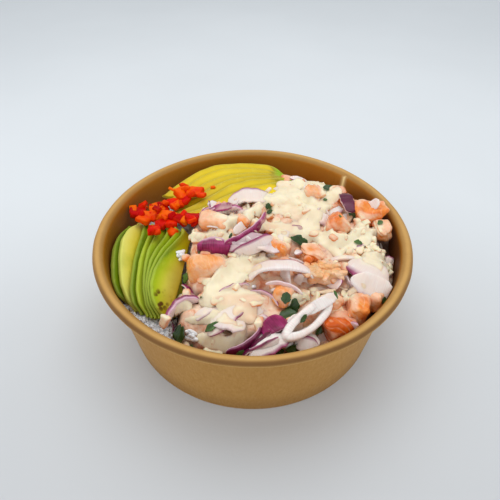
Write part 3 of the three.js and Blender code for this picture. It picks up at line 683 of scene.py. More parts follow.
def fish(l, w, h, seed, n=22, spacing=2.5, groove=0.52, uneven=1.45, soft=0.6):
    """A hand-cut piece of salmon: soft edges, a slight taper, muscle flakes parting along the fat lines."""
    rng = np.random.default_rng(seed)
    half = np.array([l, w, h]) / 2
    p, Q, P = rounded_box(half, soft * half.min() + 0.3, n)
    tx, ty, tz = rng.uniform(-0.16, 0.16, 3)
    u = p / half
    p = p * np.stack([1 + tx * u[:, 2], 1 + ty * u[:, 0], 1 + tz * u[:, 0]], -1)
    p[:, 1] += rng.uniform(-0.14, 0.14) * p[:, 0]
    p[:, 2] += rng.uniform(-0.014, 0.014) * (p[:, 0] ** 2)
    off = rng.uniform(-500, 500, 3)
    p = p + uneven * (0.20 * half.min() * noise_vec(p + off, 0.9 * half.min() + 2.5, 1) + 0.16 * noise_vec(p + off, 2.6, 4))
    a, b = rng.uniform(-0.5, 0.5), rng.uniform(0.25, 0.75)
    d = np.array([math.cos(a) * math.cos(b), math.sin(a), math.cos(a) * math.sin(b)])
    side = np.cross(d, [0, 1, 0.2])
    side /= np.linalg.norm(side)
    s = p @ side
    phase = (p @ d + 0.045 * s * s + 0.8 * noise(p + off, 5, 9)) / spacing + rng.uniform(0, 1)
    shape = Shape(p, Q, None, {"band": phase})
    nrm = shape.outward().normals()
    k = np.round(phase)
    deep = (_lattice(k.astype(np.int64), k.astype(np.int64) * 0, k.astype(np.int64) * 0, seed) + 1) / 2
    dist = np.abs(phase - k) * spacing
    depth = groove * (0.3 + 2.2 * deep ** 3) * np.exp(-(dist / 0.5) ** 2) * (0.5 + 0.7 * noise(p + off, 4, 21))
    shape.V = p - nrm * np.maximum(depth, 0)[:, None] + nrm * (0.13 * noise(p + off, 1.2, 30))[:, None]
    shape.A["tone"] = np.full(len(p), rng.uniform(0.2, 0.8))
    return shape


def layer(ax, ay, t, w, half, seed, n=44, m=20, tint=0.3, ripple=1.0, edge_side=1, point=0.8):
    """A curved piece of an onion layer: a band round an oval, its ends thinned, the crown of the arc at the origin."""
    rng = np.random.default_rng(seed + 900)
    u = np.linspace(-1, 1, n)
    a = np.radians(90 - half * u)
    off = rng.uniform(-500, 500, 3)
    wob = 1 + 0.03 * ripple * noise(np.stack([u * 3, u * 0, u * 0], -1) + off, 1.0, 3)
    k = t * (1 - 0.45 * u * u)
    mid = np.stack([(ax * wob - k / 2) * np.cos(a), (ay * wob - k / 2) * np.sin(a) - ay, 0 * a], -1)
    rad = np.stack([np.cos(a), np.sin(a), 0 * a], -1)
    far = ax * math.sin(math.radians(min(90, half)))
    e = np.abs(mid[:, 0]) / far
    width = w * (1 - 0.38 * np.minimum(1.1, e) ** 2) / 2
    # rounded rectangle, thickness across x, width across y
    th = np.linspace(0, 2 * np.pi, m, endpoint=False) + np.pi / m
    cx, cy = np.sign(np.cos(th)) * np.abs(np.cos(th)) ** 0.42, np.sign(np.sin(th)) * np.abs(np.sin(th)) ** 0.42
    end = np.sqrt(np.clip(1 - np.clip((np.abs(u) - 0.93) / 0.07, 0, 1) ** 2, 0.02, 1))
    width = width * np.sqrt(np.clip(1 - (np.clip((np.abs(u) - point) / (1.001 - point), 0, 1)) ** 2, 0.04, 1))
    sec = np.stack([cx[None] * (k / 2 * end)[:, None], cy[None] * (width * (0.75 + 0.25 * end))[:, None]], -1)
    # a layer is a little cupped across its width, and its edges wander
    cup = -0.055 * (sec[..., 1] ** 2) / max(3.0, w / 2)
    edge = 0.05 * w * noise(np.stack([u[:, None] * 5 + 0 * sec[..., 1], np.sign(sec[..., 1]) * 3, 0 * sec[..., 1]], -1) + off, 1.0, 7)
    sec = np.stack([sec[..., 0] + cup, sec[..., 1] + ripple * edge * np.abs(cy)[None]], -1)
    fr = np.stack([rad, np.repeat([[0, 0, 1.0]], n, 0)], 1)
    s = tube(mid, fr, sec)
    skin = np.clip((cx[None] + 0 * sec[..., 0]) * 0.5 + 0.5, 0, 1)
    arc = np.concatenate([[0], np.cumsum(np.linalg.norm(np.diff(mid, axis=0), axis=1))])
    s.A = {"skin": np.append(skin.ravel(), [0.4, 0.4]), "along": np.append(np.repeat(arc, m), [0, arc[-1]]) + rng.uniform(0, 90),
           "across": np.append(sec[..., 1].ravel(), [0, 0]), "tint": np.full(n * m + 2, tint),
         "edgeline": np.append(smooth(0.5, 0.92, edge_side * (cy[None] + 0 * sec[..., 0])).ravel(), [0, 0]),
           "tinge": np.append(smooth(0.1, 1.0, edge_side * np.sin(th)[None] + 0 * sec[..., 0]).ravel(), [0, 0])}
    s.V = s.V + ripple * 0.35 * noise_vec(s.V + off, 7, 11) * min(1.0, t / 2.4)
    return s.outward()


def on_plane(line, C, along, up, third, half):
    """Picture places of an outline, carried to a slice's plane: height over its length, both ends at 0."""
    pts = []
    for a, b in line:
        d = ray(a, b)
        q = CAM + d * (((C - CAM) @ third) / (d @ third)) - C
        pts.append((q @ along / half, q @ up))
    pts = sorted(p for p in pts if abs(p[0]) < 0.97)
    x = np.array([-1] + [p[0] for p in pts] + [1.0])
    y = np.array([0] + [p[1] for p in pts] + [0.0])
    g = np.linspace(-1, 1, 241)
    f = np.interp(g, x, y)
    k = np.exp(-(np.arange(-14, 15) / 6.0) ** 2)
    soft = np.convolve(np.pad(f, 14, mode="reflect", reflect_type="odd"), k / k.sum(), mode="valid")
    soft = soft * (1 - g ** 16)
    return lambda u: np.interp(u, g, soft)


def loop(ax, ay, t, w, seed, n=72, m=16):
    """A closed ring of onion pulled long, thicker at its two ends, lying on the XY plane."""
    a = np.linspace(0, 2 * np.pi, n, endpoint=False)
    bend = 1 + 0.05 * np.sin(2 * a + seed) + 0.04 * np.sin(3 * a)
    P = np.stack([ax * np.cos(a) * bend, ay * np.sin(a) * bend, 0.5 * np.sin(2 * a)], -1)
    d = np.roll(P, -1, 0) - np.roll(P, 1, 0)
    out = np.stack([d[:, 1], -d[:, 0], 0 * d[:, 0]], -1)
    out /= np.linalg.norm(out, axis=1, keepdims=True)
    th = np.linspace(0, 2 * np.pi, m, endpoint=False) + np.pi / m
    cx, cy = np.sign(np.cos(th)) * np.abs(np.cos(th)) ** 0.6, np.sign(np.sin(th)) * np.abs(np.sin(th)) ** 0.6
    k = t * (0.85 + 0.3 * np.abs(np.cos(a)) ** 2) * (1 + 0.12 * np.sin(a + 1.0))
    V = P[:, None] + out[:, None] * (cx[None] * k[:, None] / 2)[..., None] + np.array([0, 0, 1.0]) * (cy[None] * w / 2 * (1 + 0.1 * np.sin(2 * a + 2))[:, None])[..., None]
    i = np.arange(n)[:, None] * m
    i2 = (np.arange(n)[:, None] + 1) % n * m
    j = np.arange(m)[None]
    Q = np.stack([i + j, i2 + j, i2 + (j + 1) % m, i + (j + 1) % m], -1).reshape(-1, 4)
    arc = np.repeat(np.cumsum(np.linalg.norm(d, axis=1) / 2), m)
    z = np.zeros(n * m)
    s = Shape(V.reshape(-1, 3), Q, None, {"skin": z + 0.3, "along": arc, "across": np.tile(cy * w / 2, n), "tint": z, "edgeline": z, "tinge": z})
    s.V = s.V + 0.25 * noise_vec(s.V + seed * 9.0, 6, 11)
    return s.outward()


def slice_of(tipA, tipB, side, lean, bow, belly, hollow, t, seed, line=None, low_line=None, nu=96, ns=26):
    """One avocado slice between its two tips; see the fan tables."""
    A, B = np.array(tipA, float), np.array(tipB, float)
    along = B - A
    L = np.linalg.norm(along)
    along /= L
    flat = np.array([-along[1], along[0], 0])
    flat = flat / np.linalg.norm(flat) * side
    up = flat * math.cos(math.radians(lean)) + np.array([0, 0, math.sin(math.radians(lean))])
    up = up - along * (up @ along)
    up /= np.linalg.norm(up)
    third = np.cross(along, up)
    C = (A + B) / 2
    u = -np.cos(np.linspace(0, np.pi, nu + 1))
    s = (1 - np.cos(np.linspace(0, np.pi, ns + 1))) / 2
    crown = on_plane(line, C, along, up, third, L / 2) if line else (lambda w: bow * (1 - np.abs(w) ** 2.3))
    top = crown(u)
    bot = -belly * (1 - u ** (8 if line else 4)) + hollow * np.exp(-((u + 0.12) / 0.38) ** 2) * (1 - u ** 4)
    if low_line:
        bot = np.minimum(on_plane(low_line, C, along, up, third, L / 2)(u), top - 0.5 * (1 - u ** 4))
    top = top + 0.2 * noise(np.stack([u * 6, u * 0 + seed * 0.1, u * 0], -1), 1.0, 41) * (1 - u ** 8)
    bot = bot + 0.3 * noise(np.stack([u * 5, u * 0 + seed * 7.1, u * 0], -1), 1.0, 43) * (1 - u ** 8)
    U, S = np.meshgrid(u, s, indexing="ij")
    v = bot[:, None] + (top - bot)[:, None] * S
    tall = np.maximum(top - bot, 0.01)[:, None]
    d = np.minimum(np.minimum(S, 1 - S) * tall, (1 - np.abs(U)) * L / 2 * 0.75)
    r = 0.85
    k = t * (1 - 0.38 * smooth(-0.2, 1, U)) / 2
    z = k * np.sqrt(np.clip(1 - (1 - np.clip(d / r, 0, 1)) ** 2, 0, 1)) ** 0.85
    mid = C + U[..., None] * (L / 2) * along + v[..., None] * up
    wave = 0.30 * noise(mid, 17, 50) + 0.10 * noise(mid, 5, 51)
    mid = mid + wave[..., None] * third
    grain = 0.07 * noise(mid, 1.6, 52 + seed)
    F = mid + (z + grain * (z > 0.05))[..., None] * third
    G = mid - (z - grain * (z > 0.05))[..., None] * third
    nu1, ns1 = nu + 1, ns + 1
    V = np.concatenate([F.reshape(-1, 3), G.reshape(-1, 3)])
    idx = np.arange(nu1 * ns1).reshape(nu1, ns1)
    q = np.stack([idx[:-1, :-1], idx[1:, :-1], idx[1:, 1:], idx[:-1, 1:]], -1).reshape(-1, 4)
    Q = np.concatenate([q, q[:, ::-1] + nu1 * ns1])
    # weld the outline, where the two faces meet, and the two tips, where each row shrinks to a point
    V, Q, T, keep = weld(V, Q)
    edge = (top[:, None] - v)
    core = (v - bot[:, None])
    at = {"edge": np.tile(edge.ravel(), 2)[keep], "core": np.tile(core.ravel(), 2)[keep]}
    # painted highlight: strongest at the skin-side outline, fading within about a millimetre
    at["lip"] = np.exp(-np.clip(at["edge"], 0, None) / 0.7)
    r = np.hypot(V[:, 0], V[:, 1])
    lim = wall_inner(np.minimum(V[:, 2], WALL_TOP_Z)) - 0.4
    V[:, :2] *= np.minimum(1, lim / r)[:, None]
    shape = Shape(V, Q, T, at).outward()
    shape.plane = (C, along, up, L, crown)
    return shape


def rest_on(low, high, wide=0.6):
    """Where the upper slice of a fan lies on the lower one, as a number for each point of the lower: 1 at its outline.
    It is the painted shade on the lower slice.
    """
    C, along, up, L, crown = high.plane
    d = low.V - C
    u, v = (d @ along) / (L / 2), d @ up
    out = np.clip(v - crown(np.clip(u, -1, 1)) - 0.15, 0, None)         # mm outside the upper slice's skin side
    return (0.7 * np.exp(-out / wide) + 0.3 * np.exp(-out / (3.2 * wide))) * (np.abs(u) < 1.02)


def weld(V, Q, tol=0.01):
    key = np.round(V / tol).astype(np.int64)
    _, first, inv = np.unique(key, axis=0, return_index=True, return_inverse=True)
    inv = inv.reshape(-1)
    Q = inv[Q]
    V = V[first]
    bad = (Q[:, 0] == Q[:, 1]) | (Q[:, 1] == Q[:, 2]) | (Q[:, 2] == Q[:, 3]) | (Q[:, 3] == Q[:, 0])
    T = []
    for f in Q[bad]:
        g = [f[0]]
        for x in f[1:]:
            if x != g[-1] and x != g[0]:
                g.append(x)
        if len(g) == 3 and len(set(g)) == 3:
            T.append(g)
    return V, Q[~bad], np.array(T, int).reshape(-1, 3), first


def fragment(l, w, h, seed, n=12):
    """Chopped chilli: a thick wet scrap with blunt cut edges, bent and uneven."""
    rng = np.random.default_rng(seed)
    half = np.array([l, w, h]) / 2
    p, Q, P = rounded_box(half, min(1.3, 0.75 * half.min()), n)
    off = rng.uniform(-500, 500, 3)
    a = np.arctan2(p[:, 1] / half[1], p[:, 0] / half[0])
    corners = np.sort(rng.uniform(-np.pi, np.pi, 4))
    reach = np.ones(len(p))
    for c in corners:
        reach = np.minimum(reach, 0.95 / np.maximum(0.55, np.cos(np.clip((a - c + np.pi) % (2 * np.pi) - np.pi, -0.95, 0.95))))
    p[:, :2] *= reach[:, None]
    fold = rng.uniform(0.02, 0.05) * rng.choice([-1, 1])
    p[:, 2] += fold * p[:, 0] ** 2 + rng.uniform(-0.2, 0.2) * p[:, 1]
    p = p + 0.75 * noise_vec(p + off, 4.5, 1) + 0.28 * noise_vec(p + off, 1.7, 2)
    cut = np.clip(np.max(np.abs(P[:, :2]), axis=1) * 1.6 - 0.7, 0, 1) * (np.abs(P[:, 2]) < 0.98)
    return Shape(p, Q, None, {"cut": cut, "tone": np.full(len(p), rng.uniform(0, 1))}).outward()


def put(shape, x, y, z, rx, ry, rz):
    shape.V = shape.V @ turn(rx, ry, rz).T + np.array([x, y, z])
    return shape


no = lambda i: "%02d" % (i + 1)
# the low tone of piece 15 is partly painted shade
FISH_TONE = {0: 0.8, 1: 0.6, 8: 0.4, 9: 0.6, 12: 0.95, 13: 0.6, 14: 0.12}       # 0 deep orange, 1 pale
for i, (x, y, z, l, w, h, rx, ry, rz) in enumerate(SALMON_AT):
    s = fish(l, w, h, i + 1)
    if i == 12:
        # this piece is falling apart into its flakes
        r = np.random.default_rng(55)
        bits = [fish(l * 0.9, w * 0.86, h * 0.78, i + 1)]
        for k in range(30):
            q = fish(r.uniform(4.5, 8), r.uniform(2.4, 4.2), r.uniform(1.6, 2.6), 400 + k, n=7, spacing=1.6, groove=0.25, uneven=0.9, soft=0.7)
            at = np.array([r.uniform(-0.46, 0.46) * l, r.uniform(-0.46, 0.46) * w, 0.34 * h + r.uniform(-0.6, 0.4)])
            q.V = q.V @ turn(r.normal(0, 8), r.normal(0, 8), r.normal(20, 32)).T + at
            bits.append(q)
        s = joined(bits)
    if i in FISH_TONE:
        s.A["tone"] = np.full(len(s.V), FISH_TONE[i])
    pieces.append(["salmon_piece_" + no(i), put(s, x, y, z, rx, ry, rz), "salmon", "salmon", ["salmon_" + no(i)]])
TINT = [1, 0.9, 0.35, 1, 0.62, 1.5, 0.4, 0.4, 0.0, 1, 1.4, 0.16, 0.12, 0.9, 0.05]
POINT = [0.97, 0.8, 0.45, 0.8, 0.5, 0.85, 0.6, 0.4, 0.97, 0.9, 0.8, 0.5, 0.5, 0.8, 0.6]
EDGE_SIDE = [1, 1, -1, 1, -1, 1, -1, 1, 1, 1, 1, -1, 1, 1, 1]
for i, (x, y, z, ax, ay, t, w, half, rx, ry, rz) in enumerate(ONION_AT):
    s = layer(ax, ay, t, w, half, i, n=60 if half > 60 else 44, tint=TINT[i], edge_side=EDGE_SIDE[i], point=POINT[i])
    if i == 6:
        rx = 72
        s = layer(ax, ay, t, 10.5, half, i, n=70, m=24, tint=0.4, edge_side=-1, point=0.9)
    if i == 8:
        s = loop(13.6, 4.0, 4.4, 6.0, 3)
        long_way = ray_point(322, 306, 63) - ray_point(294, 331, 60.5)
        X = long_way / np.linalg.norm(long_way)
        N = -VIEW[2] - X * (-VIEW[2] @ X)
        N = 0.75 * N / np.linalg.norm(N) + np.array([0, 0, 0.45])
        N = N - X * (N @ X)
        N /= np.linalg.norm(N)
        s.V = s.V @ np.stack([X, np.cross(N, X), N], 1).T + ray_point(308, 320, 61.5)
        pieces.append(["onion_piece_" + no(i), s, "onion", "red_onion", ["onion_" + no(i)]])
        continue
    pieces.append(["onion_piece_" + no(i), put(s, x, y, z, rx, ry, rz), "onion", "red_onion", ["onion_" + no(i)]])
# skin side of each slice as it runs in the picture, from its first tip to its second
FRONT_LINE = [
    [(118, 236), (113, 248), (111, 265), (112, 282), (118, 297)],
    [(127, 230), (121, 240), (119, 255), (119, 270), (121, 285), (127, 301)],
    [(143, 228), (141, 236), (137, 248), (134, 261), (131.5, 275), (130, 290), (132, 304)],
    [(152, 228), (148, 236), (143, 248), (139.5, 260), (137, 275), (136, 290), (138, 304)],
    [(158, 229), (154, 237), (148, 249), (145, 262), (143, 276), (143, 290), (145, 305)],
    [(168, 230), (164, 237), (156, 248), (150, 259), (147, 271), (145, 286), (147, 304)],
    [(176, 231), (171, 238), (162, 248), (155, 259), (150, 271), (147, 286), (150, 304)],
    [(183, 232), (178, 238), (168, 248), (160, 258), (154, 269), (150, 283), (151, 297), (155, 309)]]
FRONT_LOW = [(191, 232), (191, 238), (188, 248), (185, 260), (180, 280), (175, 300), (171, 312)]
BACK_LINE = [
    [(175, 187), (185, 180), (200, 171), (215, 166), (230, 164.5), (249, 164), (267, 165), (279, 168)],
    [(178, 193), (190, 184), (205, 175), (220, 170), (235, 168.5), (250, 168.5), (268, 170), (280, 173)],
    [(182, 199), (193, 191), (205, 183.5), (217, 178.5), (230, 175), (249, 173), (268, 173.5), (283, 175)],
    [(186, 203), (200, 195), (212, 187), (224, 181.5), (236, 178), (250, 176.5), (270, 175.5), (285, 176)],
    [(192, 206), (205, 199), (217, 192.5), (230, 185), (249, 180), (267, 178.5), (285, 177)],
    [(200, 209), (217, 200), (230, 194), (249, 187.5), (267, 184), (281, 181)]]
GREEN = [0.62, -1.7, 0.55, -0.2, 0.2, 0.25, 0.2, 0.3]        # how far the green of the skin side reaches in
fans = []
for i, (a, b, lean, bow, belly, t) in enumerate(FRONT_FAN_AT):
    s = slice_of(a, b, -1, lean, bow, belly, 4, t, i, FRONT_LINE[i], FRONT_LOW if i == 7 else None)
    n = len(s.V)
    s.A["tone"] = np.full(n, 0.8 if i == 7 else 0.1)
    u, v = project(s.V)
    s.A["spots"] = np.clip(1.5 * np.exp(-((u - 161) / 7.5) ** 2 - ((v - 300) / 12) ** 2), 0, 1) * (i == 7)
    s.A["green"] = GREEN[i] + (0.75 if i == 7 else 0.2) * smooth(-42, -2, s.V[:, 1])
    fans.append(s)
    pieces.append(["avocado_front_slice_" + no(i), s, "green", "avocado", ["avocado_front_" + no(i)]])
# painted shade on each front slice under the edge of the next one, its strength given for each slice
for i, s in enumerate(fans):
    s.A["over"] = rest_on(s, fans[i + 1], 0.35 if i == 1 else 0.6) * (0.9, 0.4, 0.8, 0.65, 0.65, 0.65, 0.65, 0)[i] if i + 1 < len(fans) else np.zeros(len(s.V))
fans = []
for i, (a, b, lean, bow, belly, t) in enumerate(BACK_FAN_AT):
    s = slice_of(a, b, 1, lean, bow, belly, 5, t, i + 20, BACK_LINE[i])
    n = len(s.V)
    s.A["tone"] = np.full(n, 0.12)
    s.A["spots"] = np.full(n, 0.0)
    s.A["green"] = 0.5 + (1.5 if i < 3 else 0.7) * smooth(10, 22, s.V[:, 0])
    fans.append(s)
    pieces.append(["avocado_back_slice_" + no(i), s, "ripe", "avocado", ["avocado_back_" + no(i)]])
# painted shade on each back slice under the edge of the next one
for i, s in enumerate(fans):
    s.A["over"] = rest_on(s, fans[i + 1], 1.2) if i + 1 < len(fans) else np.zeros(len(s.V))
back_slices = fans
CHILLI_MORE = {2: [(-49, 4.5, 57.2)], 4: [(-56, 11, 58.5), (-58, 18, 57.5), (-50, 10.5, 60)], 3: [(-66, 21, 56.5), (-57, 23, 58.5)], 8: [(-41, 9.5, 62.5), (-44, 12.5, 61.2)], 6: [(-44, 30, 62.5)]}
for i, (x, y, z, l, w, h, rx, ry, rz) in enumerate(CHILLI_AT):
    rng = np.random.default_rng(i + 300)
    bits = [put(fragment(l, w, h * 0.8, i + 40), x, y, z, rx, ry, rz)]
    for k in range(4):
        q = fragment(*(rng.uniform(3.2, 6.2, 2)), rng.uniform(2.0, 3.2), 100 + i * 5 + k, n=8)
        dx, dy = rng.uniform(-0.6, 0.6) * l, rng.uniform(-0.6, 0.6) * w
        c = turn(rx, ry, rz) @ np.array([dx, dy, h * rng.uniform(-0.1, 0.35)])
        bits.append(put(q, x + c[0], y + c[1], z + c[2], *rng.uniform(-35, 35, 2), rng.uniform(0, 360)))
    for k, (cx, cy, cz) in enumerate(CHILLI_MORE.get(i, ())):
        q = fragment(rng.uniform(6, 9), rng.uniform(5, 7), rng.uniform(3, 4.4), 900 + i * 7 + k, n=10)
        bits.append(put(q, cx, cy, cz, *rng.uniform(-22, 22, 2), rng.uniform(0, 360)))
    if i == 7:
        back_V, back_T, count = [], [], 0
        for b in back_slices:
            back_V.append(b.V); back_T.append(b.triangles() + count); count += len(b.V)
        back_tree = BVHTree.FromPolygons(np.concatenate(back_V).tolist(), np.concatenate(back_T).tolist(), all_triangles=True)
        hit = back_tree.ray_cast(Vector(CAM), Vector(ray(213, 187.5)))
        if hit[0] is not None:
            bits.append(put(fragment(3.6, 1.8, 1.1, 977, n=8), hit[0].x, hit[0].y, hit[0].z + 0.3, 10, 0, 8))
    pieces.append(["chilli_piece_" + no(i), joined(bits), "chilli", "chilli", ["chilli_" + no(i)]])

def run_distance(X, Y, line):
    """Signed distance to a run of varying radius, below 0 inside."""
    out = np.full(X.shape, 1e3)
    for (x0, y0, r0), (x1, y1, r1) in zip(line, line[1:]):
        dx, dy = x1 - x0, y1 - y0
        t = np.clip(((X - x0) * dx + (Y - y0) * dy) / max(1e-6, dx * dx + dy * dy), 0, 1)
        out = np.minimum(out, np.hypot(X - x0 - t * dx, Y - y0 - t * dy) - (r0 + (r1 - r0) * t))
    return out


# bare fish and onion, and the dark hollows, as runs of picture places with a radius
BARE = [
    [(312, 184, 7), (314, 193, 7)], [(283, 180, 4), (304, 181, 4)], [(316, 199, 4)], [(337, 190, 5), (337, 205, 6)], [(335, 215, 8), (336, 230, 8)],
    [(366, 207, 6), (374, 209, 5), (380, 209, 4), (388, 213, 4)], [(392, 231, 4)], [(266, 243, 4), (280, 250, 6)], [(311, 247, 4), (323, 249, 4)],
    [(312, 262, 6), (322, 272, 7), (336, 268, 5)], [(264, 272, 5), (288, 272, 5)], [(279, 290, 6), (290, 296, 6)], [(270, 314, 5), (283, 317, 5)],
    [(331, 324, 8), (350, 330, 9)], [(364, 300, 6), (367, 314, 6)], [(373, 300, 5)], [(188, 262, 5), (193, 277, 5)], [(204, 262, 8), (218, 262, 7)],
    [(199, 226, 5), (228, 225, 5)], [(237, 216, 5), (252, 228, 5)], [(260, 210, 5)], [(232, 237, 4)], [(345, 190, 5), (354, 210, 5)], [(204, 247, 5), (229, 247, 6)],
    [(232, 243, 5), (262, 231, 5)], [(266, 318, 6), (283, 329, 6)], [(240, 350, 5), (262, 332, 5)], [(345, 274, 4), (360, 293, 4)], [(288, 330, 8), (326, 305, 8)],
    [(172, 312, 3), (174, 336, 3)], [(190, 285, 4), (200, 293, 4)], [(254, 210, 4), (268, 206, 4)]]
HOLLOW = [[(186, 289, 6), (197, 297, 5)], [(378, 246, 5), (394, 252, 6)], [(392, 277, 4)], [(357, 319, 4)], [(327, 339, 4)], [(262, 207, 3), (270, 214, 2)],
          [(350, 297, 4)], [(253, 338, 4), (262, 333, 3)]]
THIN = [[(282, 207, 6), (300, 213, 5)], [(268, 226, 4), (290, 228, 4)], [(356, 233, 5), (370, 226, 5)], [(252, 262, 4), (268, 263, 4)], [(222, 300, 6), (252, 300, 6)]]
FULL = [[(312, 232, 7), (330, 240, 8), (346, 241, 7)]]
PX_MM = 0.62        # one picture place is about this many mm on the heap


def spots(P, runs, soft=3.0):
    """1 well inside one of the runs, 0 away from them."""
    u, v = project(P)
    out = np.zeros(len(P))
    for line in runs:
        out = np.maximum(out, 1 - smooth(-soft, soft, run_distance(u, v, line)))
    return out


# ---------------------------------------------------------------- the rice and the deep of the heap
def filling(z_bottom, top, rings, n, seed, rough):
    """Closed heap from z_bottom up to top(x, y), inside the wall."""
    rr = np.linspace(0, 1, rings + 1)[1:] ** 0.8
    a = np.linspace(0, 2 * np.pi, n, endpoint=False)
    X, Y = 84.0 * rr[:, None] * np.cos(a), 84.0 * rr[:, None] * np.sin(a)
    Z = top(X, Y)
    lim = wall_inner(np.minimum(Z, WALL_TOP_Z)) - 0.5
    R = np.minimum(np.hypot(X, Y) * (lim / 84.0), lim)
    X, Y = R * np.cos(a), R * np.sin(a)
    V = np.stack([X, Y, top(X, Y)], -1)
    V[..., 2] += rough(V)
    bottom = wall_inner(z_bottom) - 0.5
    low = np.stack([bottom * np.cos(a), bottom * np.sin(a), 0 * a + z_bottom], -1)
    flat = np.stack([0.5 * bottom * np.cos(a), 0.5 * bottom * np.sin(a), 0 * a + z_bottom], -1)
    rows = np.concatenate([V, low[None], flat[None]])
    k = rows.shape[0]
    P = rows.reshape(-1, 3)
    i = np.arange(k - 1)[:, None] * n
    j = np.arange(n)[None, :]
    Q = np.stack([i + j, i + (j + 1) % n, i + n + (j + 1) % n, i + n + j], -1).reshape(-1, 4)
    c = np.array([[0, 0, float(top(np.array(0.0), np.array(0.0))) + float(rough(np.array([[0.0, 0.0, 60.0]]))[0])], [0, 0, z_bottom]])
    P = np.concatenate([P, c])
    T = [(k * n, (s + 1) % n, s) for s in range(n)] + [(k * n + 1, (k - 1) * n + s, (k - 1) * n + (s + 1) % n) for s in range(n)]
    return Shape(P, Q, T)


def rice_core_top(x, y):
    return rice_top(x, y) - 0.4


def heap_core_top(x, y):
    r = np.hypot(x, y)
    sink = 2.5 + 6.0 * smooth(70, 82, r)
    return np.maximum(RICE_Z + 1.6, mix_top(x, y) - sink)


rice_core = filling(RECESS + DISC_T + 0.4, rice_core_top, 46, 200, 3, lambda V: 0.8 * noise(V, 5.5, 61))
rice_core.A["tone"] = 0.4 + 0.3 * noise(rice_core.V, 3.0, 5)
heap_core = filling(RICE_Z + 0.8, heap_core_top, 70, 280, 4, lambda V: 2.0 * noise(V, 6.5, 71) + 0.6 * noise(V, 2.8, 72))
hollow = spots(heap_core.V, HOLLOW)
# painted shade: deeper where the surface dips, near the wall and in the hollows
heap_core.A["deep"] = np.clip(-0.15 - 0.7 * noise(heap_core.V, 6.5, 71) + 0.9 * smooth(68, 80, np.hypot(heap_core.V[:, 0], heap_core.V[:, 1])) + 1.3 * hollow, 0, 1)
heap_core.V[:, 2] -= 3.5 * hollow * (heap_core.V[:, 2] > RICE_Z + 8)
heap_core.A["film"] = np.full(len(heap_core.V), 0.2)

# ---------------------------------------------------------------- where the heap can be touched from above
def tree_of(shapes):
    V, T, n = [], [], 0
    for s in shapes:
        V.append(s.V); T.append(s.triangles() + n); n += len(s.V)
    return BVHTree.FromPolygons(np.concatenate(V).tolist(), np.concatenate(T).tolist(), all_triangles=True)


DOWN = Vector((0, 0, -1))


def drop(tree, x, y, high=110.0):
    """Height and normal of what lies under (x, y)."""
    hit = tree.ray_cast(Vector((float(x), float(y), high)), DOWN)
    return (hit[0].z, np.array(hit[1])) if hit[0] is not None else (None, None)


def seen(tree, u, v):
    """The point that shows at this place in the picture, and its normal."""
    d = ray(u, v)
    hit = tree.ray_cast(Vector(CAM), Vector(d))
    return (np.array(hit[0]), np.array(hit[1])) if hit[0] is not None else (None, None)


def lying(normal, spin, rng, tilt=14.0):
    """Turn that lays a piece flat on a slope, with a spin about the slope's normal."""
    n = Vector(normal)
    if n.z < 0.25:
        n.z = 0.25
    n.normalize()
    q = Vector((0, 0, 1)).rotation_difference(n).to_matrix() @ Matrix.Rotation(spin, 3, "Z")
    q = q @ Matrix.Rotation(math.radians(rng.normal(0, tilt)), 3, "X") @ Matrix.Rotation(math.radians(rng.normal(0, tilt)), 3, "Y")
    return np.array(q)


cores = [rice_core, heap_core]
solid_now = [p[1] for p in pieces]
base_tree = tree_of(cores + solid_now)
core_tree = tree_of(cores)

# small pieces of fish and onion that fill the heap between the large ones
rng = np.random.default_rng(2024)


def in_mix(x, y):
    return float(left_of_mix(x, y)) < 0.35 and float(under_back_fan(x, y)) < 0.5 and math.hypot(x, y) < 79


flakes, slivers, threads = [], [], []
tries = 0
while len(flakes) < 200 and tries < 6000:
    tries += 1
    x, y = rng.uniform(-42, 80), rng.uniform(-80, 74)
    if len(flakes) > 150:
        x, y = rng.uniform(6, 80), rng.uniform(20, 82)
    if not in_mix(x, y):
        continue
    z, nrm = drop(core_tree, x, y)
    zt, _ = drop(base_tree, x, y)
    if z is None or zt - z > 9:
        continue
    if spots(np.array([[x, y, z]]), HOLLOW)[0] > 0.3:
        continue
    l, w, h = rng.uniform(5, 10), rng.uniform(4, 7), rng.uniform(3.0, 5.5)
    s = fish(l, w, h, 2000 + tries, n=7, spacing=2.1, groove=0.3, uneven=1.4, soft=0.62)
    s.V = s.V @ lying(nrm, rng.uniform(0, 6.28), rng, 18).T + np.array([x, y, z + h * 0.1])
    flakes.append(s)
tries = 0
while len(slivers) < 55 and tries < 4000:
    tries += 1
    x, y = rng.uniform(-34, 80), rng.uniform(-80, 74)
    if not in_mix(x, y) or float(under_back_fan(x, y - 6)) > 0.05:
        continue
    z, nrm = drop(core_tree, x, y)
    zt, _ = drop(base_tree, x, y)
    if z is None or zt - z > 11:
        continue
    if spots(np.array([[x, y, z]]), HOLLOW)[0] > 0.3:
        continue
    ax = rng.uniform(8, 17)
    w = rng.uniform(3, 9)
    s = layer(ax, ax * rng.uniform(0.8, 1.1), rng.uniform(1.3, 2.2), w, rng.uniform(26, 58), 500 + tries, n=20, m=12,
              tint=float(rng.choice([0.1, 0.3, 0.5, 1.0], p=[0.35, 0.3, 0.15, 0.2])), ripple=1.0)
    s.A["edgeline"] = s.A["edgeline"] * (1.0 if s.A["tint"][0] > 0.6 else 0.45)
    flat = turn(float(rng.choice([90, 90, 10])) + rng.normal(0, 14), rng.normal(0, 12), 0)
    s.V = (s.V @ flat.T) @ lying(nrm, rng.uniform(0, 6.28), rng, 12).T + np.array([x, y, z + rng.uniform(1.0, 3.0)])
    if s.V[:, 2].max() > zt + 4.0:
        continue
    slivers.append(s)
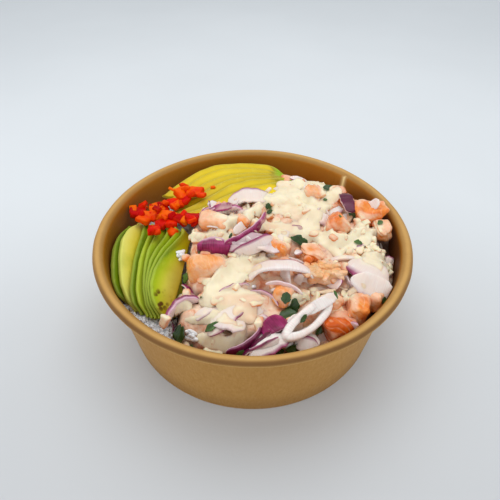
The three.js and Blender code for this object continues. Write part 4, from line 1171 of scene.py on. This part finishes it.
# the low ground along the wall and behind the back fan: smaller flakes and slivers lying close together
edge_flakes = []
rng_edge = np.random.default_rng(311)
tries = 0
while len(edge_flakes) < 130 and tries < 6000:
    tries += 1
    a, far = math.radians(rng_edge.uniform(-78, 128)), rng_edge.uniform(64, 81.5)
    x, y = far * math.cos(a), far * math.sin(a)
    if float(left_of_mix(x, y)) > 0.35:
        continue
    z, nrm = drop(core_tree, x, y)
    zt, _ = drop(base_tree, x, y)
    if z is None or zt - z > 3 or spots(np.array([[x, y, z]]), HOLLOW)[0] > 0.3:
        continue
    l, w, h = rng_edge.uniform(5, 9), rng_edge.uniform(3.5, 6), rng_edge.uniform(2.6, 4.4)
    if tries % 5 == 0:
        q = layer(l * 1.3, l * 1.2, 1.5, w, 38, 4000 + tries, n=16, m=10, tint=0.3)
        q.V = q.V @ turn(90 + rng_edge.normal(0, 8), rng_edge.normal(0, 8), 0).T
        q.A["edgeline"] = q.A["edgeline"] * 0.5
        q.V = q.V @ lying(nrm, rng_edge.uniform(0, 6.28), rng_edge, 8).T + np.array([x, y, z + 1.4])
        if q.V[:, 2].max() < zt + 4.0:
            slivers.append(q)
        continue
    q = fish(l, w, h, 3000 + tries, n=6, spacing=2.1, groove=0.3, uneven=1.9, soft=0.45)
    q.V = q.V @ lying(nrm, rng_edge.uniform(0, 6.28), rng_edge, 16).T + np.array([x, y, z + h * 0.1])
    edge_flakes.append(q)
tries, low = 0, 0
while low < 42 and tries < 3000:
    tries += 1
    x, y = rng_edge.uniform(-30, 26), rng_edge.uniform(54, 78)
    if math.hypot(x, y) > 80:
        continue
    z, nrm = drop(core_tree, x, y)
    above = base_tree.ray_cast(Vector((x, y, z + 0.5)), Vector((0, 0, 1)))
    h = rng_edge.uniform(2.4, 4.0)
    if above[0] is not None and above[0].z - z < h + 1.5:
        continue
    q = fish(rng_edge.uniform(5, 9), rng_edge.uniform(4, 6.5), h, 5000 + tries, n=6, spacing=2.1, groove=0.3, uneven=1.9, soft=0.45)
    q.V = q.V @ lying(nrm, rng_edge.uniform(0, 6.28), rng_edge, 10).T + np.array([x, y, z + h * 0.15])
    edge_flakes.append(q)
    low += 1
p, nrm = seen(base_tree, 165, 322)
if p is not None:
    q = fish(7.0, 5.0, 3.6, 6001, n=7, spacing=2.1, groove=0.3, uneven=1.2, soft=0.6)
    q.V = q.V @ lying(nrm, 0.9, np.random.default_rng(7), 4).T + p + np.array([0, 0, 1.0])
    edge_flakes.append(q)
# onion that shows: picture place, length and width and thickness in mm, turn in the picture, half arc,
# 0 with its face up or 1 with its cut edge up, how purple it is
ONION_SEEN = [
    (238, 303, 30, 11, 1.6, 42, 35, 0, .2), (226, 318, 24, 9, 1.6, 50, 35, 0, .25), (252, 312, 24, 9, 1.5, 35, 35, 0, .25),
    (246, 240, 22, 9, 1.5, 30, 38, 0, .7), (253, 247, 24, 8, 1.5, 26, 38, 0, .5), (242, 232, 18, 6, 1.4, 38, 38, 0, .62),
    (282, 228, 30, 4, 1.2, -8, 40, 0, .1), (290, 234, 26, 3.5, 1.2, -14, 40, 0, .1), (292, 214, 16, 8, 1.3, -30, 30, 0, .05),
    (300, 180, 14, 4, 1.3, -12, 35, 0, .5), (390, 263, 12, 7, 1.4, -40, 30, 0, .3), (376, 246, 14, 8, 1.4, -50, 35, 0, .2),
    (371, 236, 12, 7, 1.4, -70, 35, 0, .4), (270, 345, 24, 9, 1.6, 35, 38, 0, .3), (262, 350, 20, 8, 1.6, 45, 35, 0, .3),
    (322, 338, 12, 9, 1.8, 10, 40, 0, .15), (307, 345, 12, 8, 1.8, -10, 40, 0, .3), (312, 296, 20, 7, 1.4, 25, 35, 0, .2),
    (322, 303, 22, 6, 1.4, 30, 35, 0, .1), (317, 292, 7, 5, 2, 30, 20, 0, 1), (347, 296, 9, 4, 1.6, -50, 30, 0, 1), (222, 207, 15, 5, 1.6, 12, 30, 0, 1),
    (305, 277, 17, 7, 1.6, -62, 40, 0, .4), (375, 287, 26, 13, 1.8, -22, 32, 0, .12), (349, 281, 16, 3.6, 1.6, -55, 28, 1, .9),
    (268, 234, 26, 3, 1.2, -4, 55, 1, 1), (311, 215, 15, 3, 1.1, 50, 25, 1, 1), (353, 250, 14, 3, 1.2, 42, 20, 1, 1), (285, 285, 20, 3, 1.1, -18, 45, 1, 1),
    (268, 295, 18, 3, 1.1, -42, 45, 1, 1), (309, 174, 12, 2.5, 1.1, -14, 40, 1, 1), (171, 324, 17, 4, 1.4, -82, 25, 1, 1), (192, 289, 12, 3, 1.4, -38, 30, 1, 1),
    (250, 345, 22, 3, 1.6, 48, 35, 1, 1.5), (243, 352, 16, 3, 1.4, 40, 30, 1, 1.5), (232, 286, 18, 3, 1.0, 20, 30, 1, .8), (300, 262, 16, 3, 1.1, -35, 40, 1, .6)]


def facing(normal, deg, toward=0.6):
    """Axes with the first running at deg in the picture and the third near the surface's normal, turned a little to the camera."""
    d = VIEW[0] * math.cos(math.radians(deg)) + VIEW[1] * math.sin(math.radians(deg))
    n = Vector(normal)
    if n.dot(Vector(-VIEW[2])) < 0:
        n = -n
    n = (n.normalized() + toward * Vector(-VIEW[2])).normalized()
    x = Vector(d) - n * Vector(d).dot(n)
    x.normalize()
    return np.array(x), np.array(n.cross(x)), np.array(n)


for k, (u, v, length, w, t, deg, half, up, tint) in enumerate(ONION_SEEN):
    p, nrm = seen(base_tree, u, v)
    if p is None:
        continue
    X, Y, N = facing(nrm, deg)
    ax = length / 2 / math.sin(math.radians(half))
    s = layer(ax, ax, t, w, half, 700 + k, n=36, m=16, tint=tint, point=0.45 if not up else 0.8, edge_side=1 if k % 2 else -1)
    R = np.stack([X, N, -Y], 1) if not up else np.stack([X, Y, N], 1)
    s.V = s.V @ R.T + p + N * (0.7 if not up else 1.4)
    slivers.append(s)
flake_shape, sliver_shape = joined(flakes + edge_flakes), joined(slivers)
for q in (flake_shape, sliver_shape):
    r = np.hypot(q.V[:, 0], q.V[:, 1])
    q.V[:, :2] *= np.minimum(1, (wall_inner(np.clip(q.V[:, 2], 0, WALL_TOP_Z)) - 0.6) / np.maximum(r, 1))[:, None]


# rice grains: on the rice that shows, and strewn through the heap
def grain(seed):
    r = np.random.default_rng(seed)
    n, m = 9, 7
    L, W = r.uniform(5.6, 6.8), r.uniform(2.5, 3.1)
    t = -np.cos(np.linspace(0.12, np.pi - 0.12, n))
    rad = W / 2 * (1 - np.abs(t) ** 2.6) ** 0.5
    path = np.stack([t * L / 2, 0.10 * L * (t ** 2) * r.uniform(-1, 1), 0 * t], -1)
    th = np.linspace(0, 2 * np.pi, m, endpoint=False)
    sec = np.stack([np.cos(th)[None] * rad[:, None], 0.86 * np.sin(th)[None] * rad[:, None]], -1)
    fr = np.repeat(np.array([[[0, 1.0, 0], [0, 0, 1.0]]]), n, 0)
    s = tube(path, fr, sec)
    s.V = s.V * (1 + 0.05 * noise(s.V + seed, 2.0, 3))[:, None]
    s.A["tone"] = np.full(len(s.V), r.uniform(0.2, 0.8))
    return s.outward()


GRAINS = [grain(k) for k in range(24)]
grains = []


def add_grain(x, y, z, nrm, lift=0.5, tilt=22):
    g = GRAINS[rng.integers(len(GRAINS))]
    V = g.V @ lying(nrm, rng.uniform(0, 6.28), rng, tilt).T + np.array([x, y, z + lift])
    grains.append(Shape(V, g.Q, g.T, {"tone": np.full(len(V), rng.uniform(0.15, 0.9))}))


rice_tree = tree_of([rice_core])
tries = 0
while len(grains) < 1250 and tries < 16000:
    tries += 1
    r, a = 84 * math.sqrt(rng.uniform(0, 1)), rng.uniform(0, 2 * math.pi)
    x, y = r * math.cos(a), r * math.sin(a)
    if float(left_of_mix(x, y)) < 0.2 or r > wall_inner(44) - 3.2:
        continue
    z, nrm = drop(rice_tree, x, y)
    tops = [drop(base_tree, x + dx, y + dy)[0] for dx, dy in ((0, 0), (4, 0), (-4, 0), (0, 4), (0, -4))]
    if min(t for t in tops if t is not None) > z + 4.0:
        continue
    add_grain(x, y, z, nrm, rng.uniform(0.1, 1.0), 22)
for _ in range(12):
    x, y = rng.uniform(-46, 78), rng.uniform(-79, 70)
    if math.hypot(x, y) > 78 or float(under_back_fan(x, y)) > 0.5:
        continue
    z, nrm = drop(core_tree, x, y)
    if z is None:
        continue
    add_grain(x, y, z, nrm, rng.uniform(-0.2, 0.4), 14)
# the lump of rice by the last avocado slice, and the rice by the wall at the front left
for u, v, k in ((180, 256, 8), (144, 322, 26), (158, 328, 20), (191, 337, 9), (170, 333, 12), (392, 276, 8)):
    p, nrm = seen(base_tree, u, v)
    if p is None:
        continue
    start = len(grains)
    for _ in range(k):
        q = p + np.array([rng.normal(0, 1.1), rng.normal(0, 1.1), 0])
        if k > 10:
            q = p + np.array([rng.normal(0, 4.2), rng.normal(0, 3.6), 0])
        z, nn = drop(base_tree, q[0], q[1])
        if z is None or math.hypot(q[0], q[1]) > wall_inner(min(z, 60)) - 3.4 or z - p[2] > 3:
            continue
        add_grain(q[0], q[1], z, nn, rng.uniform(0.0, 0.8) if k > 10 else rng.uniform(-0.2, 0.3), 12 if k > 10 else 6)
    if (u, v) == (180, 256):
        # this one holds together: its grains lie side by side in two layers
        side = lying(nrm, 0.6, np.random.default_rng(5), 2)
        packed = ((0.2, -1.9, 0.6, 8), (-0.3, 0.1, 0.8, -6), (0.3, 2.0, 0.6, 5), (-0.1, -0.9, 2.4, -16), (0.2, 1.0, 2.4, 12))
        grains[start:] = [Shape((GRAINS[j].V * [0.88, 1, 1] @ turn(0, 0, a).T + [dx, dy, dz]) @ side.T + p, GRAINS[j].Q, GRAINS[j].T,
                                {"tone": np.full(len(GRAINS[j].V), 0.7 + 0.04 * j)}) for j, (dx, dy, dz, a) in enumerate(packed)]
grain_shape = joined(grains)


# coriander: torn pieces of leaf, folded and curled
def leaf(l, w, seed):
    r = np.random.default_rng(seed)
    n, m = 16, 9
    u, v = np.meshgrid(np.linspace(0, 1, n), np.linspace(-1, 1, m), indexing="ij")
    half = w / 2 * np.sin(np.pi * np.clip(u, 0.02, 0.98)) ** 0.62 * (1 + 0.10 * np.sin(u * 13 + seed) + 0.05 * np.sin(u * 31 + seed * 2))
    X = (u - 0.5) * l
    Y = v * half
    Z = r.uniform(-0.03, 0.08) * Y ** 2 + r.uniform(-0.03, 0.02) * X ** 2 + 0.22 * np.sin(X * 1.2 + seed) * np.abs(v) + r.uniform(0.15, 0.55) * np.abs(Y)
    mid = np.stack([X, Y, Z], -1)
    t = 0.16 * (1 - np.maximum(np.abs(v), np.abs(2 * u - 1)) ** 6)
    F, G = mid + t[..., None] * [0, 0, 1], mid - t[..., None] * [0, 0, 1]
    idx = np.arange(n * m).reshape(n, m)
    q = np.stack([idx[:-1, :-1], idx[1:, :-1], idx[1:, 1:], idx[:-1, 1:]], -1).reshape(-1, 4)
    V, Q, T, keep = weld(np.concatenate([F.reshape(-1, 3), G.reshape(-1, 3)]), np.concatenate([q, q[:, ::-1] + n * m]), 0.002)
    along = np.tile((v * 2.2 + u * 3).ravel(), 2)[keep]
    return Shape(V, Q, T, {"along": along, "tone": np.full(len(V), r.uniform(0, 1))})


# picture place, length, width, turn in degrees of each leaf that shows
LEAF_AT = [(187, 278, 6.5, 5, 60), (180, 335, 11, 6, 85), (212, 327, 8, 3.5, 35), (299, 243, 12, 6.5, -25), (328, 189, 7, 5, -30), (353, 214, 7, 5, -60),
           (352, 220, 7, 4, 70), (380, 223, 4, 3, 40), (358, 243, 5, 3, -20), (286, 298, 6, 5, 80), (293, 306, 9, 7, 70), (288, 315, 9, 6.5, 20),
           (291, 346, 7, 6, 0), (280, 352, 4, 3, 30), (383, 300, 4, 3, 60), (303, 318, 5, 3, 50), (268, 206, 4, 3, 80), (270, 212, 4, 3, 20),
           (310, 180, 3, 2.5, 0), (240, 352, 4, 2.5, 30), (318, 330, 5, 3.5, 60), (325, 200, 3, 2, 10), (231, 236, 4, 1.8, 60)]

# ---------------------------------------------------------------- the dressing
# Each run is a line of picture places with a radius, in pixels of the picture; the last number is how thick it lies, in mm.
POURS = [
    ([(258, 208, 5), (268, 202, 8), (280, 198, 10), (295, 196, 10), (306, 199, 8), (316, 203, 6)], 1.3),
    ([(276, 208, 7), (292, 210, 7), (308, 210, 6), (314, 206, 5)], 1.2),
    ([(320, 205, 6), (329, 199, 8), (338, 194, 5)], 1.3),
    ([(318, 210, 6), (311, 220, 9), (308, 229, 10), (320, 237, 10), (334, 240, 10), (347, 241, 8), (356, 234, 5.5), (362, 227, 4)], 1.5),
    ([(256, 227, 3), (270, 224, 4), (284, 226, 5), (298, 231, 7), (310, 236, 8)], 1.0),
    ([(332, 247, 5), (340, 253, 5), (346, 247, 5), (357, 242, 5.5), (366, 237, 5), (373, 230, 3.5)], 1.1),
    ([(366, 256, 5), (375, 260, 6.5), (383, 266, 5)], 1.3),
    ([(266, 260, 3), (256, 260, 7), (243, 265, 10), (230, 274, 12), (217, 286, 12), (206, 298, 9)], 1.4),
    ([(234, 262, 8), (248, 267, 8), (258, 268, 6)], 1.2),
    ([(194, 236, 3), (206, 235, 5), (218, 234, 5), (229, 237, 4)], 0.9),
    ([(226, 225, 5), (232, 220, 7), (238, 217, 4)], 1.3),
    ([(249, 205, 3.6), (249, 213, 4.2), (249, 222, 3.6)], 1.6),
    ([(308, 290, 3), (322, 291, 4), (334, 289, 4), (346, 286, 3)], 0.9),
    ([(287, 299, 4), (295, 297, 6), (304, 296, 4)], 1.3),
    ([(186, 321, 4), (198, 320, 5.5), (208, 318, 5), (217, 314, 4)], 1.4),
    ([(203, 338, 6), (214, 342, 9), (226, 344, 9), (236, 339, 7), (242, 328, 5)], 1.4),
    ([(174, 307, 5), (181, 301, 7), (188, 304, 4)], 1.0),
    ([(222, 300, 7), (238, 296, 9), (250, 297, 7), (264, 299, 5)], 0.8),
    ([(238, 312, 7), (250, 317, 8), (248, 306, 8)], 0.6),
    ([(220, 317, 5), (232, 326, 6)], 0.6),
    ([(350, 291, 4), (362, 286, 4)], 0.7)]
# more of it on the far slope, which the picture doesn't show: x, y, radius in mm
FAR_POURS = [([(20, 44, 5), (34, 46, 6), (46, 42, 5)], 1.5), ([(40, 56, 4), (52, 48, 5)], 1.3)]


def pour_field(P):
    """Thickness in mm and depth inside the edge in mm of the dressing at points of the heap."""
    u, v = project(P)
    wob = 2.4 * noise(P * np.array([1, 1, 0.3]), 9.0, 81) + 1.3 * noise(P * np.array([1, 1, 0.3]), 4.5, 82)
    inside = np.full(len(P), -1e3)
    thick = np.zeros(len(P))
    weight = np.zeros(len(P))
    for line, t in POURS:
        d = -(run_distance(u, v, line) * PX_MM) + wob * 0.75
        inside = np.maximum(inside, d)
        w = np.exp(np.clip(d, -12, 12) * 0.5)
        thick += w * t
        weight += w
    for line, t in FAR_POURS:
        d = -run_distance(P[:, 0], P[:, 1], line) + wob * 0.75
        inside = np.maximum(inside, d)
        w = np.exp(np.clip(d, -12, 12) * 0.5)
        thick += w * t
        weight += w
    return inside, thick / weight


def blur(H, sigma):
    k = int(3 * sigma + 1)
    g = np.exp(-(np.arange(-k, k + 1) / sigma) ** 2 / 2)
    g /= g.sum()
    A = np.pad(H, ((k, k), (0, 0)), mode="edge")
    H = sum(g[i] * A[i:i + H.shape[0]] for i in range(2 * k + 1))
    A = np.pad(H, ((0, 0), (k, k)), mode="edge")
    return sum(g[i] * A[:, i:i + H.shape[1]] for i in range(2 * k + 1))


def spread(H, k, pick):
    """Largest or smallest height within k cells."""
    A = np.pad(H, k, mode="edge")
    out = H.copy()
    for i in range(-k, k + 1):
        for j in range(-k, k + 1):
            if i * i + j * j <= k * k + 1:
                out = pick(out, A[k + i:k + i + H.shape[0], k + j:k + j + H.shape[1]])
    return out


CELL = 0.6
gx = np.arange(-48, 84.01, CELL)
gy = np.arange(-84, 80.01, CELL)
GX, GY = np.meshgrid(gx, gy, indexing="ij")
all_tree = tree_of(cores + solid_now + [flake_shape, sliver_shape])
Hraw = np.full(GX.shape, np.nan)
for i in range(GX.shape[0]):
    for j in range(GX.shape[1]):
        if math.hypot(GX[i, j], GY[i, j]) < 84:
            z, _ = drop(all_tree, GX[i, j], GY[i, j])
            Hraw[i, j] = z if z is not None else np.nan
Hraw = np.where(np.isnan(Hraw), 40.0, Hraw)
closed_up = spread(spread(Hraw, 4, np.maximum), 4, np.minimum)
level = blur(closed_up, 3.2)
close = blur(spread(spread(Hraw, 2, np.maximum), 2, np.minimum), 1.7)


def sauce_shape():
    P = np.stack([GX.ravel(), GY.ravel(), level.ravel()], -1)
    inside, thick = pour_field(P)
    r = np.hypot(P[:, 0], P[:, 1])
    inside = np.minimum(inside, (83.5 - r))
    inside = inside.reshape(GX.shape)
    thick = thick.reshape(GX.shape)
    gi = np.gradient(inside, CELL)
    on = inside > 0
    # cells with every corner inside or one step from it
    near = spread(on.astype(float), 1, np.maximum) > 0.5
    X, Y = GX.copy(), GY.copy()
    L2 = np.maximum(gi[0] ** 2 + gi[1] ** 2, 0.05)
    edge = near & ~on
    shift = np.clip(-inside / L2, 0, 1.2 * CELL)
    X[edge] += (gi[0] * shift)[edge]
    Y[edge] += (gi[1] * shift)[edge]
    depth = np.where(on, inside, 0)
    f = np.clip(1 - (1 - np.clip(depth / 3.6, 0, 1)) ** 2, 0, 1) ** 0.7
    wide = smooth(0.0, 3.6, depth)
    ground = close * (1 - 0.8 * wide) + level * 0.8 * wide - 0.25 * (1 - f)
    lump = 0.35 * noise(np.stack([X, Y, 0 * X], -1), 9.0, 91) + 0.06 * noise(np.stack([X, Y, 0 * X], -1), 3.0, 92)
    top = ground + f * (0.75 * thick + lump * (0.4 + thick * 0.5))
    bottom = ground - 0.9 * f
    cells = near[:-1, :-1] & near[1:, :-1] & near[1:, 1:] & near[:-1, 1:]
    cells &= (on[:-1, :-1] | on[1:, :-1] | on[1:, 1:] | on[:-1, 1:])
    idx = np.arange(GX.size).reshape(GX.shape)
    q = np.stack([idx[:-1, :-1], idx[1:, :-1], idx[1:, 1:], idx[:-1, 1:]], -1)[cells]
    used = np.unique(q)
    remap = np.full(GX.size, -1)
    remap[used] = np.arange(len(used))
    q = remap[q]
    V1 = np.stack([X.ravel(), Y.ravel(), top.ravel()], -1)[used]
    V2 = np.stack([X.ravel(), Y.ravel(), bottom.ravel()], -1)[used]
    is_on = on.ravel()[used]
    n = len(used)
    low = np.where(is_on, np.arange(n) + n, np.arange(n))       # outline points are shared by the two faces
    Q = np.concatenate([q, low[q][:, ::-1]])
    V = np.concatenate([V1, V2])
    veil = f * np.clip(thick / 2.0, 0, 1) - 0.42 * smooth(-0.1, 0.9, Hraw - level) - 0.40 * np.clip(noise(np.stack([X, Y, 0 * X], -1), 9.0, 95), 0, 1)
    veil = veil.ravel()[used] - 0.42 * spots(V1, THIN) + 0.35 * spots(V1, FULL)
    A = np.concatenate([veil] * 2)
    keep = np.unique(Q)
    remap = np.full(2 * n, -1)
    remap[keep] = np.arange(len(keep))
    # outline cells whose four corners are all outline points would be doubled faces
    dead = np.all(~is_on[q], axis=1)
    Q = Q[~np.concatenate([dead, dead])]
    return Shape(V[keep], remap[Q], None, {"thick": A[keep]})


sauce = sauce_shape()


def film_of(s, kind):
    inside, _ = pour_field(s.V)
    nrm = s.normals()
    up = smooth(-0.2, 0.7, nrm[:, 2])
    near = smooth(-9.0, 0.5, inside)
    bare = spots(s.V, BARE)
    base = {"salmon": 0.50, "onion": 0.22}[kind]
    s.A["film"] = (base + 0.5 * near - 0.6 * bare) * up + 0.12 * (1 - up)
    if kind == "onion":
        s.A["film"] -= 0.55 * s.A["edgeline"] * (s.A["tint"] > 0.08) + 0.35 * smooth(0.8, 1.3, s.A["tint"])


for name, s, mat, slot, nodes in pieces:
    if mat in ("salmon", "onion"):
        film_of(s, mat)
film_of(flake_shape, "salmon")
flake_shape.A["film"] += 0.34 * smooth(58, 68, np.hypot(flake_shape.V[:, 0], flake_shape.V[:, 1]))
film_of(sliver_shape, "onion")

# ---------------------------------------------------------------- put it all in the scene
for name, s, mat, slot, nodes in pieces:
    make(name, s, MAT[mat], nodes)
make("rice_core", rice_core, MAT["rice"], ["rice"])
make("rice_grains", grain_shape, MAT["rice"], ["rice"])
make("heap_core", heap_core, MAT["mix"], ["ceviche_mix"])
make("fish_flakes", flake_shape, MAT["salmon"], ["ceviche_mix"])
make("onion_slivers", sliver_shape, MAT["onion"], ["ceviche_mix"])
make("cream_sauce", sauce, MAT["cream"], ["ceviche_mix"])

top_tree = tree_of(cores + solid_now + [flake_shape, sliver_shape, grain_shape, sauce])
leaves = []
for i, (u, v, l, w, deg) in enumerate(LEAF_AT):
    p, nrm = seen(top_tree, u, v)
    if p is None:
        continue
    s = leaf(l, w, i + 1)
    X, Y, N = facing(nrm, deg)
    s.V = s.V @ np.stack([X, Y, N], 1).T + p + N * 0.5
    leaves.append(s)
rng = np.random.default_rng(77)
for i in range(9):
    x, y = rng.uniform(-40, 76), rng.uniform(-76, 66)
    if not in_mix(x, y):
        continue
    z, nrm = drop(top_tree, x, y)
    if z is None:
        continue
    s = leaf(rng.uniform(2, 5), rng.uniform(1.2, 3), 60 + i)
    s.V = s.V @ lying(nrm, rng.uniform(0, 6.28), rng, 20).T + np.array([x, y, z + 0.15])
    leaves.append(s)
make("coriander", joined(leaves), MAT["herb"], ["ceviche_mix"])


# ---------------------------------------------------------------- floor and light
def floor():
    n, rings = 96, 24
    a = np.linspace(0, 2 * np.pi, n, endpoint=False)
    rr = 2200 * np.linspace(0.02, 1, rings) ** 1.8
    V = np.stack([rr[:, None] * np.cos(a), rr[:, None] * np.sin(a), 0 * rr[:, None] * a - 0.02], -1).reshape(-1, 3)
    i = np.arange(rings - 1)[:, None] * n
    j = np.arange(n)[None, :]
    Q = np.stack([i + j, i + (j + 1) % n, i + n + (j + 1) % n, i + n + j], -1).reshape(-1, 4)
    V = np.concatenate([V, [[0, 0, -0.02]]])
    T = [(rings * n, s, (s + 1) % n) for s in range(n)]
    me = bpy.data.meshes.new("floor")
    me.from_pydata((V * 0.001).tolist(), [], [f[::-1] for f in Q.tolist()] + [list(t) for t in T])
    me.update()
    m = Mat("pale_floor", 0.75, Specular_IOR_Level=0.2)
    n1 = m.noise(3.0, 3)
    xyz = m.node("ShaderNodeSeparateXYZ")
    m.t.links.new(m.xyz, xyz.inputs[0])
    # painted shade: the floor is painted darker towards the front and lighter towards the back
    back = m.fit(xyz.outputs[1], -0.16, 0.12)
    m.colour(m.mix(m.fit(n1, 0.3, 0.7), m.mix(back, srgb(198, 201, 204), srgb(218, 223, 227)), m.mix(back, srgb(202, 205, 208), srgb(222, 227, 231))))
    me.materials.append(m.m)
    ob = bpy.data.objects.new("floor", me)
    bpy.context.collection.objects.link(ob)


floor()


def area(name, at, aim, size, power, colour=(1, 1, 1)):
    d = bpy.data.lights.new(name, "AREA")
    d.shape, d.size, d.size_y = "RECTANGLE", size[0], size[1]
    d.energy, d.color = power, colour
    o = bpy.data.objects.new(name, d)
    o.location = at
    o.rotation_euler = (Vector(aim) - Vector(at)).to_track_quat("-Z", "Y").to_euler()
    bpy.context.collection.objects.link(o)


area("top", (-0.03, 0.20, 0.80), (0, 0.0, 0.03), (0.8, 0.6), 3.0, (1.0, 0.99, 0.97))
area("left", (-0.80, -0.25, 0.45), (0, 0, 0.04), (0.5, 0.6), 0.8, (0.97, 0.985, 1.0))
area("front", (0.0, -1.0, 0.42), (0, 0, 0.03), (1.4, 0.5), 1.5, (0.98, 0.99, 1.0))
area("right", (0.80, -0.25, 0.45), (0, 0, 0.04), (0.5, 0.5), 0.7, (0.97, 0.985, 1.0))
world = bpy.data.worlds.new("studio")
world.use_nodes = True
bg = world.node_tree.nodes["Background"]
bg.inputs[0].default_value = (0.95, 0.975, 1.0, 1)
bg.inputs[1].default_value = 0.68
bpy.context.scene.world = world
vs = bpy.context.scene.view_settings
vs.view_transform, vs.look, vs.exposure, vs.gamma = "Standard", "None", 0.0, 1.0
